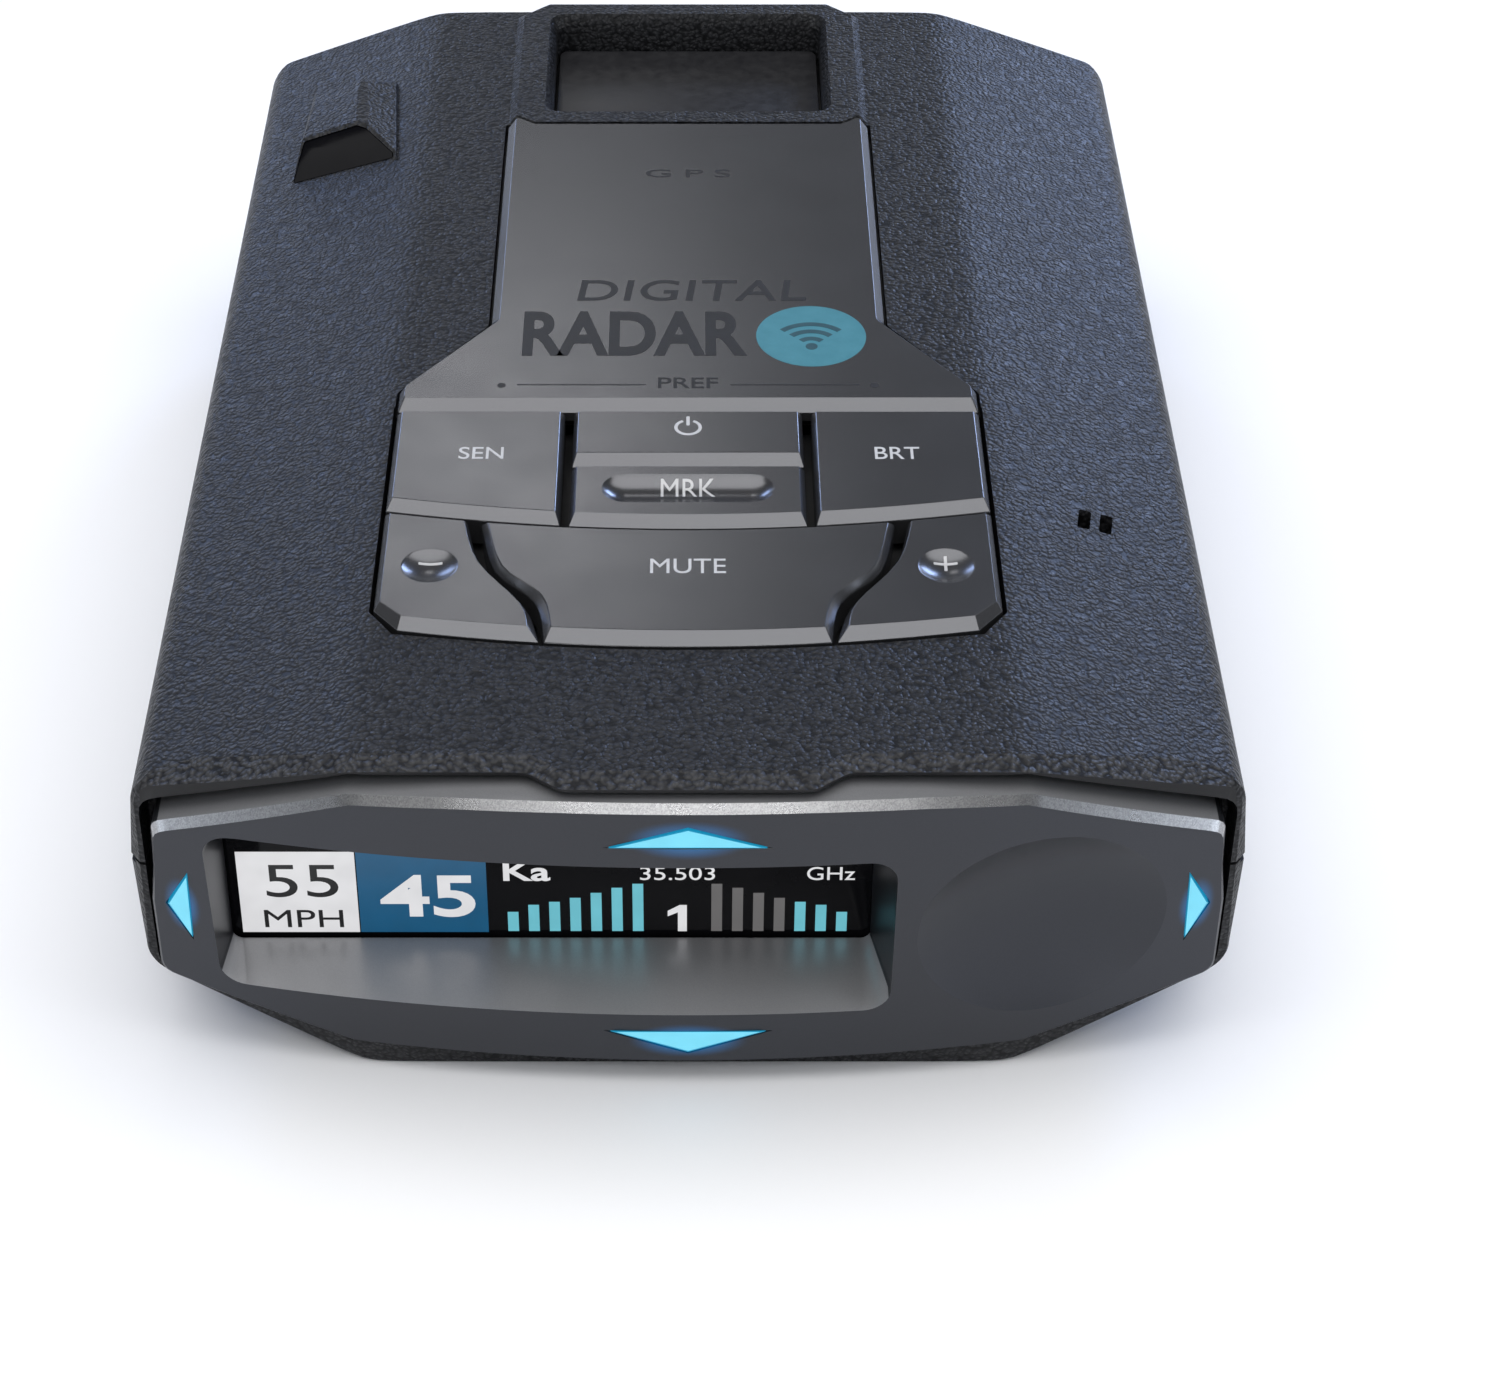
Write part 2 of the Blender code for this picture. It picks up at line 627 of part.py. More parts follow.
def build_top_shell():
    shell = casing_form("top_shell", material="case_plastic")
    cut(shell, casing_form("top_cavity", WALL))
    mouth = [mouth_ring(y) for y in (-72.0, MOUTH_BACK_Y)]
    cut(shell, loft("top_mouth", mouth, pairs=bezel_pairs()))
    cut(shell, box("below_parting", (-60, -80, -10), (60, 80, PARTING_Z + GAP / 2)))
    rings = [bump_ring(STRIP_HALF, 32.8, 61.4), bump_ring(STRIP_HALF, TOP_FACE_Z, 61.7),
             bump_ring(STRIP_CREST_HALF, PROUD_Z, 61.0)]
    join(shell, loft("mount_bump", rings))
    join(shell, box("mount_tub", (-16.2, 36.7, 27.0), (16.2, 59.9, 33.6)))
    join(shell, hood_solid("sensor_hood"))
    for corner, (x, y) in SCREW_PLACES.items():
        join(shell, cylinder(f"post_{corner}", 3.2, PARTING_Z + 0.2, facet_z(x) - 1.0, (x, y), sides=16))
        cut(shell, cylinder(f"pilot_{corner}", SCREW_SHANK_RADIUS + GAP, 15.0, SCREW_END_Z + GAP, (x, y),
                            sides=12))
    y_span = RECESS_Y
    cut(shell, frustum("recess", (-RECESS_HALF, RECESS_HALF), y_span,
                       RECESS_FLOOR_Z - PLATE_THICKNESS - GAP, 33.9, 0.0, 1.2))
    cut(shell, frustum("recess_lip", (-RECESS_HALF, RECESS_HALF), y_span, 33.8, 35.2, 0.8, 1.6))
    for side, x in (("left", -MAGNET_X), ("right", MAGNET_X)):
        well = RECESS_FLOOR_Z - PLATE_THICKNESS - 2 * GAP - MAGNET_HEIGHT - GAP
        cut(shell, cylinder(f"magnet_well_{side}", MAGNET_RADIUS + GAP, well, 31.0,
                            (x, sum(RECESS_Y) / 2)))
    pocket = strip_outline(STRIP_HALF + GAP, STRIP_WIDE_HALF + GAP, STRIP_REAR_Y + 1.5 * GAP,
                           STRIP_FOOT_Y - 3.0)
    cut(shell, outline_solid("strip_pocket", pocket, "Z", STRIP_POCKET_Z, 36.0))
    cut(shell, outline_solid("button_opening", button_block_outline(0.4), "Z", 29.0, 36.5))
    cut(shell, hood_prism("lens_recess", MOUTH_OUTLINE, -6.0, 2.0))
    cut(shell, hood_prism("receiver_well", RECEIVER_WELL, 0.0, 6.4))
    for index, x in enumerate((34.15, 36.05)):
        cut(shell, box(f"sensor_slot_{index}", (x - 0.55, -29.2, 24.0), (x + 0.55, -26.5, 36.0)))
    cut(shell, box("top_nose_window", (-13.3, 58.0, 12.7), (13.3, 70.0, 22.3)))
    return shell


def build_bottom_shell():
    shell = casing_form("bottom_shell", material="case_plastic")
    cut(shell, casing_form("bottom_cavity", WALL))
    mouth = [mouth_ring(y) for y in (-72.0, MOUTH_BACK_Y)]
    cut(shell, loft("bottom_mouth", mouth, pairs=bezel_pairs()))
    cut(shell, box("above_parting", (-60, -80, PARTING_Z - GAP / 2), (60, 80, 50)))
    for corner, (x, y) in SCREW_PLACES.items():
        join(shell, cylinder(f"boss_{corner}", 3.6, 4.2, PARTING_Z - 0.2, (x, y), sides=16))
        cut(shell, cylinder(f"bore_{corner}", SCREW_SHANK_RADIUS + GAP, 5.0, 25.0, (x, y), sides=12))
        cut(shell, cylinder(f"counterbore_{corner}", SCREW_HEAD_RADIUS + GAP, -2.0,
                            SCREW_HEAD_Z[1] + GAP, (x, y), sides=20))
    cut(shell, box("label_recess", (-18.0, 8.0, -1.0), (18.0, 32.0, 0.6)))
    for index in range(7):
        x = (index - 3) * 3.0
        half = math.sqrt(11.5 ** 2 - x * x)
        slot = rounded_box((x - 0.8, x + 0.8), (-28.0 - half, -28.0 + half), 0.75, 3)
        cut(shell, outline_solid(f"speaker_slot_{index}", slot, "Z", -1.0, 4.0))
    cut(shell, box("power_socket_window", (-46.0, 17.0, 10.2), (-41.0, 27.0, 17.4)))
    cut(shell, box("usb_window", (-46.0, 2.0, 11.2), (-41.0, 10.0, 14.6)))
    hole = cylinder("earphone_window", 2.9, -3.0, 3.0, (0, 0), sides=20)
    hole.location = Vector((-43.5, -5.0, 13.6)) * MM
    hole.rotation_euler = (0.0, math.pi / 2, 0.0)
    cut(shell, hole)
    cut(shell, box("bottom_nose_window", (-13.3, 58.0, 12.7), (13.3, 70.0, 22.3)))
    return shell


# ---------------------------------------------------------------- bezel and display

ARROWS = {
    # name: outline in x and z of the lens, then its stem's box in x and z
    "up": ([(-6.2, 28.4), (6.2, 28.4), (0.0, 30.6)], (-2.0, 2.0, 28.5, 29.7)),
    "down": ([(-6.4, 6.5), (0.0, 4.0), (6.4, 6.5)], (-2.0, 2.0, 5.2, 6.4)),
    "left": ([(-42.2, 17.4), (-40.3, 13.6), (-40.3, 21.1)], (-41.2, -40.4, 16.2, 18.6)),
    "right": ([(42.2, 17.4), (40.3, 21.1), (40.3, 13.6)], (40.4, 41.2, 16.2, 18.6)),
}


def grown(outline, amount):
    """Moves an outline's corners away from its middle."""
    middle = sum((Vector(point) for point in outline), Vector((0, 0))) / len(outline)
    points = []
    for point in outline:
        away = Vector(point) - middle
        points.append(tuple(middle + away * (1 + amount / min(away.length, 2.2))))
    return points


def face_prism(name, outline, out, behind, material=None):
    """An x-z outline that stands out of the bezel's face and ends behind it."""
    front = [(x, face_y(x, z) - out, z) for x, z in outline]
    back = [(x, face_y(x, z) + behind, z) for x, z in outline]
    return loft(name, [front, back], material)


def build_bezel():
    bezel = bezel_form("display_bezel", "bezel_paint")
    hollow = [bezel_ring(lambda x, z: face_y(x, z) + FACE_THICKNESS, grow=-1.25),
              bezel_ring(lambda x, z: BEZEL_BACK_Y + 3.0, grow=-1.25)]
    cut(bezel, loft("bezel_hollow", hollow, pairs=bezel_pairs()))
    wall = 1.05
    tub = arc_block("display_tub", (POCKET_X[0] - wall, POCKET_X[1] + wall),
                    (POCKET_Z[0] - wall, POCKET_Z[1] + wall), 1.1, WINDOW_Y - GAP)
    join(bezel, tub)
    boss = cylinder("dish_boss", DISH_RADIUS + 1.2, -3.6, 0.0, (0, 0), sides=40)
    boss.matrix_world = face_frame(*DISH_CENTRE, depth=1.0) @ Matrix.Translation((0, 0, -1.8 * MM))
    join(bezel, boss)
    corner_radii = (3.5, 3.5, 2.2, 2.2)

    def pocket_ring(x, z, y):
        corners = zip(((x[0], z[0]), (x[1], z[0]), (x[1], z[1]), (x[0], z[1])), corner_radii)
        return [(u, y, v) for u, v in rounded([(*at, radius) for at, radius in corners])]

    rings = [pocket_ring(POCKET_X, POCKET_Z, -70.0), pocket_ring(POCKET_X, POCKET_Z, POCKET_BEND_Y),
             pocket_ring(SCREEN_X, SCREEN_Z, -54.0)]
    cut(bezel, loft("display_pocket", rings))
    ball_radius = (DISH_RADIUS ** 2 + DISH_DEPTH ** 2) / (2 * DISH_DEPTH)
    dish = ball("dish_ball", ball_radius, (0, 0, 0), segments=72, rings=48)
    wide = Matrix.Diagonal((DISH_STRETCH, 1.0, 1.0, 1.0))
    dish.matrix_world = face_frame(*DISH_CENTRE, depth=DISH_DEPTH - ball_radius) @ wide
    cut(bezel, dish)
    for side, (outline, _) in ARROWS.items():
        cut(bezel, face_prism(f"arrow_hole_{side}", grown(outline, 0.3), 3.0, 3.5))
    return bezel


def build_arrows():
    for side, (outline, (x0, x1, z0, z1)) in ARROWS.items():
        lens = face_prism(f"arrow_lens_{side}", outline, 0.18, FACE_THICKNESS + 0.4, "arrow_lens")
        near = face_y((x0 + x1) / 2, (z0 + z1) / 2) + 1.0
        stem_end = DISPLAY_BOARD_Y[0] - 0.8
        join(lens, box(f"arrow_stem_{side}", (x0, near, z0), (x1, stem_end, z1)))


def build_display():
    lamp_depth = 0.45
    window = rounded_box((SCREEN_X[0] - 0.9, SCREEN_X[1] + 0.9), (SCREEN_Z[0] - 0.9, SCREEN_Z[1] + 0.9), 1.0)
    outline_solid("display_window", window, "Y", WINDOW_Y, WINDOW_Y + 1.0, "clear_window")
    box("display_panel", (SCREEN_X[0] - 0.8, WINDOW_Y + 1.3, SCREEN_Z[0] - 0.4),
        (SCREEN_X[1] + 1.6, DISPLAY_BOARD_Y[0] - lamp_depth - GAP, SCREEN_Z[1] + 1.6), "screen")
    right = [(26.0, 4.2), (37.6, 9.6), (41.2, 12.0), (41.2, 24.0), (38.0, 27.3), (28.0, 30.2)]
    board = outline_solid("display_board", right + mirrored(right), "Y", *DISPLAY_BOARD_Y,
                          "circuit_board")
    for side, (_, (x0, x1, z0, z1)) in ARROWS.items():
        join(board, box(f"arrow_lamp_{side}", (x0, DISPLAY_BOARD_Y[0] - lamp_depth, z0),
                        (x1, DISPLAY_BOARD_Y[0] + 0.4, z1)))
    film = 0.25
    route = [(-49.9, 14.0), (-49.4, 11.6), (-48.2, 10.2), (-46.4, 9.6), (-11.5, 9.35), (-8.6, 9.35)]
    upper = [(y, z + film) for y, z in reversed(route[1:])] + [(route[0][0] + film, route[0][1])]
    outline_solid("display_ribbon", route + upper, "X", 20.0, 29.0, "flex_film")


# ---------------------------------------------------------------- control strip

def build_fascia():
    low = strip_outline(STRIP_HALF, STRIP_WIDE_HALF, STRIP_REAR_Y, STRIP_FOOT_Y)
    high = strip_outline(STRIP_CREST_HALF, STRIP_WIDE_HALF - 0.5, STRIP_REAR_Y, STRIP_CREST_Y)
    rings = [[(x, y, STRIP_BOTTOM_Z) for x, y in low], [(x, y, TOP_FACE_Z) for x, y in low],
             [(x, y, PROUD_Z) for x, y in high]]
    loft("control_fascia", rings, "gunmetal_paint")


def sweep_x(start, end, steps):
    return [start + (end - start) * i / steps for i in range(steps + 1)]


def side_button(sign):
    """Outer button of the first row: foot outline, crest outline and stem place."""
    top_y = STRIP_FOOT_Y - 0.4
    foot = [(25.8, top_y), (10.9, top_y)] + [(x, foot_row_one(x)) for x in sweep_x(10.9, 25.8, 4)]
    crest = [(25.3, top_y - 0.4), (11.3, top_y - 0.4)]
    crest += [(x, crest_row_one(x)) for x in sweep_x(11.3, 25.3, 4)]
    return place_side(foot, sign), place_side(crest, sign), (sign * 18.2, -23.2)


def volume_button(sign):
    """Outer button of the second row, with its curved inner side and cut corner."""
    inner_foot = [(12.15, foot_row_two(12.15)), (13.4, -43.2), (17.2, -37.8), (18.7, foot_row_one(18.7) - 0.6)]
    inner_crest = [(13.1, crest_row_two(13.1)), (13.85, -43.3), (17.55, -37.7), (19.0, foot_row_one(19.0) - 1.1)]
    foot = inner_foot + [(x, foot_row_one(x) - 0.6) for x in (22.0, 25.8)]
    foot += [(25.8, -43.6), (23.7, foot_row_two(23.7)), (18.0, foot_row_two(18.0))]
    crest = inner_crest + [(x, foot_row_one(x) - 1.1) for x in (22.0, 25.3)]
    crest += [(25.3, -43.2), (23.4, crest_row_two(23.4)), (18.0, crest_row_two(18.0))]
    return place_side(foot, sign), place_side(crest, sign), (sign * 21.4, -41.8)


def place_side(outline, sign):
    return outline if sign > 0 else mirrored(outline)


def power_button():
    top_y = STRIP_FOOT_Y - 0.4
    foot = [(10.1, top_y), (10.1, -23.3), (-10.1, -23.3), (-10.1, top_y)]
    crest = [(9.7, top_y - 0.4), (9.7, -22.0), (-9.7, -22.0), (-9.7, top_y - 0.4)]
    return foot, crest, (0.0, -19.2)


def mark_button():
    top_y = -23.8
    low = [(x, foot_row_one(x)) for x in sweep_x(10.1, -10.1, 4)]
    high = [(x, crest_row_one(x)) for x in sweep_x(9.6, -9.6, 4)]
    return [(10.1, top_y)] + low + [(-10.1, top_y)], [(9.6, -24.1)] + high + [(-9.6, -24.1)], (0.0, -28.0)


def mute_button():
    right_foot = [(17.55, foot_row_one(17.55) - 0.6), (16.1, -38.3), (12.5, -42.6), (11.6, foot_row_two(11.6))]
    right_crest = [(16.95, foot_row_one(16.95) - 1.1), (15.5, -38.3), (12.0, -42.3), (11.1, crest_row_two(11.1))]
    foot = right_foot + [(x, foot_row_two(x)) for x in (6.0, 0.0, -6.0)] + mirrored(right_foot)
    foot += [(x, foot_row_one(x) - 0.6) for x in (-9.0, 0.0, 9.0)]
    crest = right_crest + [(x, crest_row_two(x)) for x in (6.0, 0.0, -6.0)] + mirrored(right_crest)
    crest += [(x, foot_row_one(x) - 1.1) for x in (-9.0, 0.0, 9.0)]
    return foot, crest, (0.0, -40.0)


BUTTONS = {
    "button_sensitivity": side_button(-1),
    "button_brightness": side_button(1),
    "button_power": power_button(),
    "button_mark": mark_button(),
    "button_minus": volume_button(-1),
    "button_plus": volume_button(1),
    "button_mute": mute_button(),
}
SCOOP_HALF = 5.35
SCOOP_WIDTH = 4.1
SCOOP_DEPTH = 0.8
SCOOP_Y = -27.3
DIMPLE_RADIUS = 2.35
DIMPLE_DEPTH = 0.7
DIMPLE_X = 21.5
DIMPLE_Y = -38.3


def dip_radius(half_width, depth):
    """Radius of the round tool that leaves a hollow of this half width and depth."""
    return (half_width ** 2 + depth ** 2) / (2 * depth)


def build_buttons():
    """Each button slides down its own axis, which its empty marks, over its switch."""
    caps = {}
    for name, (foot, crest, (x, y)) in BUTTONS.items():
        axis = bpy.data.objects.new(f"{name}_axis", None)
        axis.empty_display_size = 3 * MM
        axis.location = Vector((x, y, PROUD_Z)) * MM
        PARTS.objects.link(axis)
        rings = [[(u, v, BUTTON_BOTTOM_Z) for u, v in foot], [(u, v, TOP_FACE_Z) for u, v in foot],
                 [(u, v, PROUD_Z) for u, v in crest]]
        rings = [[(u - x, v - y, z - PROUD_Z) for u, v, z in ring] for ring in rings]
        cap = loft(name, rings, "gunmetal_paint")
        cap.parent = axis
        half = STEM_SIZE / 2
        join(cap, box(f"{name}_stem", (x - half, y - half, STEM_BOTTOM_Z), (x + half, y + half, 32.6)))
        caps[name] = cap
    radius = dip_radius(SCOOP_WIDTH / 2, SCOOP_DEPTH)
    height = PROUD_Z - SCOOP_DEPTH + radius
    trough = cylinder("scoop_trough", radius, -SCOOP_HALF, SCOOP_HALF, (0, 0), sides=40)
    trough.location = Vector((0.0, SCOOP_Y, height)) * MM
    trough.rotation_euler = (0.0, math.pi / 2, 0.0)
    cut(caps["button_mark"], trough)
    for side, sign in (("left", -1), ("right", 1)):
        cut(caps["button_mark"], ball(f"scoop_end_{side}", radius * 0.999,
                                      (sign * SCOOP_HALF, SCOOP_Y, height), segments=40, rings=30))
    radius = dip_radius(DIMPLE_RADIUS, DIMPLE_DEPTH)
    for name, sign in (("button_minus", -1), ("button_plus", 1)):
        centre = (sign * DIMPLE_X, DIMPLE_Y, PROUD_Z - DIMPLE_DEPTH + radius)
        cut(caps[name], ball(f"{name}_dimple", radius, centre, segments=32, rings=24))


def build_keypad():
    hole = STEM_SIZE / 2 + GAP
    guide_outline = rounded_box((-27.8, 27.8), (-49.4, -13.6), 1.5)
    holes = []
    for _, _, (x, y) in BUTTONS.values():
        holes.append([(x - hole, y - hole), (x - hole, y + hole), (x + hole, y + hole), (x + hole, y - hole)])
    outline_solid("button_guide", guide_outline, "Z", *GUIDE_Z, "black_plastic", holes=holes)
    board = rounded_box((-27.5, 27.5), (-48.5, -14.0), 1.5)
    outline_solid("keypad_board", board, "Z", *KEYPAD_Z, "circuit_board")
    for name, (_, _, (x, y)) in BUTTONS.items():
        body_low = KEYPAD_Z[1] + GAP
        switch = box(name.replace("button", "switch"), (x - 2.25, y - 2.25, body_low),
                     (x + 2.25, y + 2.25, body_low + 2.0), "black_plastic")
        join(switch, cylinder(f"{switch.name}_plunger", 1.1, body_low + 1.0, SWITCH_TOP_Z, (x, y), sides=16))


# ---------------------------------------------------------------- sensors and mount

def build_sensors():
    hood_prism("rearward_laser_lens", LENS_OUTLINE, 0.4, 1.7, "black_lens")
    hood_prism("rearward_laser_receiver", RECEIVER_OUTLINE, 4.1, 5.5, "black_plastic")
    window = rounded_box((-13.0, 13.0), (13.0, 22.0), 1.6)
    outline_solid("forward_laser_window", window, "Y", 64.6, 66.2, "black_lens")
    box("forward_laser_receiver", (-5.0, 60.2, 14.0), (5.0, 63.6, 21.0), "black_plastic")
    box("light_sensor", (33.2, -29.4, 25.6), (37.0, -26.3, 28.6), "black_plastic")


def build_mount():
    edge = GAP
    plate = rounded_box((-RECESS_HALF + edge, RECESS_HALF - edge), (RECESS_Y[0] + edge, RECESS_Y[1] - edge), 1.0)
    outline_solid("mount_plate", plate, "Z", RECESS_FLOOR_Z - PLATE_THICKNESS, RECESS_FLOOR_Z, "dark_steel")
    top = RECESS_FLOOR_Z - PLATE_THICKNESS - 2 * GAP
    for side, x in (("left", -MAGNET_X), ("right", MAGNET_X)):
        cylinder(f"mount_magnet_{side}", MAGNET_RADIUS, top - MAGNET_HEIGHT, top,
                 (x, sum(RECESS_Y) / 2), "steel")


def build_screws():
    for corner, (x, y) in SCREW_PLACES.items():
        profile = [(0.0, SCREW_END_Z), (SCREW_SHANK_RADIUS * 0.5, SCREW_END_Z - 0.4),
                   (SCREW_SHANK_RADIUS, SCREW_END_Z - 1.8), (SCREW_SHANK_RADIUS, SCREW_HEAD_Z[1]),
                   (SCREW_HEAD_RADIUS, SCREW_HEAD_Z[1]), (SCREW_HEAD_RADIUS, SCREW_HEAD_Z[0] + 0.5),
                   (SCREW_HEAD_RADIUS - 0.5, SCREW_HEAD_Z[0]), (0.0, SCREW_HEAD_Z[0])]
        screw = turned(f"case_screw_{corner}", profile, (x, y, 0.0), "steel", steps=16)
        for arm, (half_x, half_y) in (("a", (1.5, 0.3)), ("b", (0.3, 1.5))):
            cut(screw, box(f"screw_slot_{corner}_{arm}", (x - half_x, y - half_y, SCREW_HEAD_Z[0] - 1.0),
                           (x + half_x, y + half_y, SCREW_HEAD_Z[0] + 0.9)))
    outline_solid("rating_label", rounded_box((-17.6, 17.6), (8.4, 31.6), 1.5), "Z", 0.1, 0.3, "label_film")


# ---------------------------------------------------------------- electronics

def build_boards():
    right = [(36.4, -12.0), (36.4, 38.6), (28.8, 39.6), (28.8, 56.0)]
    outline_solid("main_board", right + mirrored(right), "Z", *MAIN_BOARD_Z, "circuit_board")
    can_low = MAIN_BOARD_Z[1] + GAP
    can = box("rf_shield", (9.0, -8.0, can_low), (33.0, 16.0, can_low + 4.5), "tinned_can")
    cut(can, box("rf_shield_inside", (9.5, -7.5, can_low - 1.0), (32.5, 15.5, can_low + 4.0)))
    box("wireless_module", (-8.0, -9.0, can_low), (4.0, 6.0, can_low + 2.4), "tinned_can")
    box("gps_board", (-14.0, 7.0, 26.0), (14.0, 35.0, 27.0), "circuit_board")
    patch = rounded_box((-12.0, 12.0), (9.0, 33.0), 1.0)
    outline_solid("gps_patch", patch, "Z", 27.3, 31.3, "ceramic")


def horn(name, mouth_y, throat_y, mouth, throat, wall):
    """A flared horn antenna, open at its mouth. Mouth and throat are (half width, low, high)."""
    def ring(y, size, inset):
        half, low, high = size
        return [(half - inset, y, low + inset), (half - inset, y, high - inset),
                (-half + inset, y, high - inset), (-half + inset, y, low + inset)]
    way = 1.0 if mouth_y > throat_y else -1.0
    made = loft(name, [ring(throat_y, throat, 0.0), ring(mouth_y, mouth, 0.0)], "cast_zinc")
    inner = loft(f"{name}_inside", [ring(throat_y + way * 2.0, throat, wall),
                                    ring(mouth_y + way * 1.0, mouth, wall)])
    cut(made, inner)
    return made


def build_antennas():
    horn("forward_horn_antenna", 57.0, 28.0, (19.0, 10.0, 25.4), (6.0, 13.0, 20.0), 1.1)
    horn("rearward_horn_antenna", -48.0, -19.0, (16.0, 11.0, 22.8), (6.0, 13.5, 19.5), 1.1)


def build_speaker():
    centre = (0.0, -28.0, 0.0)
    frame = [(14.0, 6.2), (14.0, 2.5), (12.7, 2.5), (12.7, 5.2), (7.6, 5.2), (7.6, 6.2)]
    turned("speaker_frame", frame, centre, "dark_steel")
    cone = [(0.0, 4.2), (4.5, 4.6), (12.2, 2.95), (12.2, 2.6), (4.5, 4.2), (0.0, 3.8)]
    turned("speaker_cone", cone, centre, "paper_cone")
    cylinder("speaker_magnet", 7.2, 6.5, 9.8, centre, "steel", sides=32)


def build_jacks():
    jack = box("power_jack", (-40.7, 15.6, 9.3), (-29.5, 28.4, 19.2), "black_plastic")
    cut(jack, box("power_socket", (-44.0, 17.2, 10.4), (-32.0, 26.8, 17.2)))
    usb = box("usb_port", (-41.0, 2.2, 11.4), (-34.5, 9.8, 14.4), "tinned_can")
    cut(usb, box("usb_socket", (-44.0, 2.7, 11.9), (-35.5, 9.3, 13.9)))
    plug = box("earphone_jack", (-41.0, -8.2, 10.4), (-29.0, -1.8, 16.8), "black_plastic")
    barrel = cylinder("earphone_barrel", 2.6, -1.5, 1.5, (0, 0), sides=20)
    bore = cylinder("earphone_bore", 1.8, -8.0, 8.0, (0, 0), sides=20)
    for tool, x in ((barrel, -42.0), (bore, -40.0)):
        tool.location = Vector((x, -5.0, 13.6)) * MM
        tool.rotation_euler = (0.0, math.pi / 2, 0.0)
    join(plug, barrel)
    cut(plug, bore)


build_top_shell()
build_bottom_shell()
build_bezel()
build_arrows()
build_display()
build_fascia()
build_buttons()
build_keypad()
build_sensors()
build_mount()
build_screws()
build_boards()
build_antennas()
build_speaker()
build_jacks()
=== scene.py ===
import math

import bmesh
import bpy
from mathutils import Matrix, Vector


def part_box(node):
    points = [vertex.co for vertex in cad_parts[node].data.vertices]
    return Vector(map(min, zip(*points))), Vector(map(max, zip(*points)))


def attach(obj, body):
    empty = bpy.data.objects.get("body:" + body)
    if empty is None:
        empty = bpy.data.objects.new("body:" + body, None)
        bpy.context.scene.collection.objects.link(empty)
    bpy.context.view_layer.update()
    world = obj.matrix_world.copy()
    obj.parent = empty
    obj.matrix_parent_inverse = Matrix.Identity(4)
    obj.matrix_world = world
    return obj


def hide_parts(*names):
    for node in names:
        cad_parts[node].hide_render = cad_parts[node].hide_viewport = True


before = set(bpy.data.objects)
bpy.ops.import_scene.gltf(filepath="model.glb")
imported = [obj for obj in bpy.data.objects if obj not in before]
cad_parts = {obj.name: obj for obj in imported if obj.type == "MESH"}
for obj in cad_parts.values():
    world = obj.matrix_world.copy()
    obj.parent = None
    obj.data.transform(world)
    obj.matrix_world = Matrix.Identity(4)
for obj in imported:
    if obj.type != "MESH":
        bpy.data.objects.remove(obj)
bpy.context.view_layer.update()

MM = 0.001
GAP = 0.3


def cad(node):
    """A CAD node's lowest and highest corners, in millimetres."""
    return [[value / MM for value in corner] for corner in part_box(node)]


# ---- places read from the CAD nodes in model.glb

PROUD_Z = cad("control_fascia")[1][2]
TOP_Z = PROUD_Z - 0.7
SIDE_X = cad("top_shell")[1][0]
SIDE_LEAN = 0.11
LOW_SIDE_LEAN = 0.036
NOSE_Y = cad("top_shell")[1][1]
TONGUE_Y = cad("top_shell")[0][1]
BEZEL_LOW, BEZEL_HIGH = cad("display_bezel")
PLATE_LOW, PLATE_HIGH = cad("mount_plate")
PARTING_Z = (cad("top_shell")[0][2] + cad("bottom_shell")[1][2]) / 2
FACE_FRONT_Y = -NOSE_Y
WINDOW_LOW, WINDOW_HIGH = cad("display_window")

# Casing section
FLAT_HALF = 26.5
FACET_SLOPE = 0.2917
UNDERSIDE_HALF = 27.5
UNDERSIDE_SLOPE = 0.49
WALL = 2.0

# Front rim, whose bevel is deep on top and narrow round the sides
RIM_Y = TONGUE_Y + 2.1
RIM_DEPTH = 1.9
RIM_DEPTH_GROWTH = 0.083
RIM_SIDE_DEPTH = 0.45
TONGUE_HALF = 9.9
TONGUE_FOOT_HALF = 12.5
RIM_SWEEP = 0.2167
UNDERCUT = math.tan(math.radians(5.0))

# Antenna end: where its rounded edge starts, and where its flat ends up and down
NOSE_CREST_Y = {"top": 60.6, "side": 56.8, "bottom": 61.6}
NOSE_SPAN_Z = (9.4, 24.0)
NOSE_CROWN = 0.0008

# Bezel
BEZEL_ARC_RADIUS = 186.0
BEZEL_SIDE_X = BEZEL_HIGH[0]
BEZEL_TOP_Z = BEZEL_HIGH[2]
BEZEL_BOTTOM_Z = BEZEL_LOW[2]
BEZEL_BACK_Y = -56.6
BEZEL_CHAMFER = 0.66
BEZEL_EDGE = 0.2

POCKET_MOUTH = ((-38.75, 16.55), (8.6, 26.2))
POCKET_BACK = ((-38.0, 15.0), (8.8, 22.2))
POCKET_BEND_Y = -62.5

DISH_CENTRE = (28.6, 17.2)
DISH_RADIUS = 10.3
DISH_DEPTH = 2.6
DISH_STRETCH = 1.05


# ---- mesh helpers

def new_object(name, data):
    made = bpy.data.objects.new(name, data)
    bpy.context.scene.collection.objects.link(made)
    return made


def to_mesh(bm, name):
    bmesh.ops.recalc_face_normals(bm, faces=bm.faces)
    mesh = bpy.data.meshes.new(name)
    bm.to_mesh(mesh)
    bm.free()
    return mesh


def bake(made):
    """Replaces an object's mesh with what its modifiers make of it."""
    bpy.context.view_layer.update()
    graph = bpy.context.evaluated_depsgraph_get()
    mesh = bpy.data.meshes.new_from_object(made.evaluated_get(graph))
    made.modifiers.clear()
    made.data = mesh
    return made


CUT = "DIFFERENCE"
JOIN = "UNION"


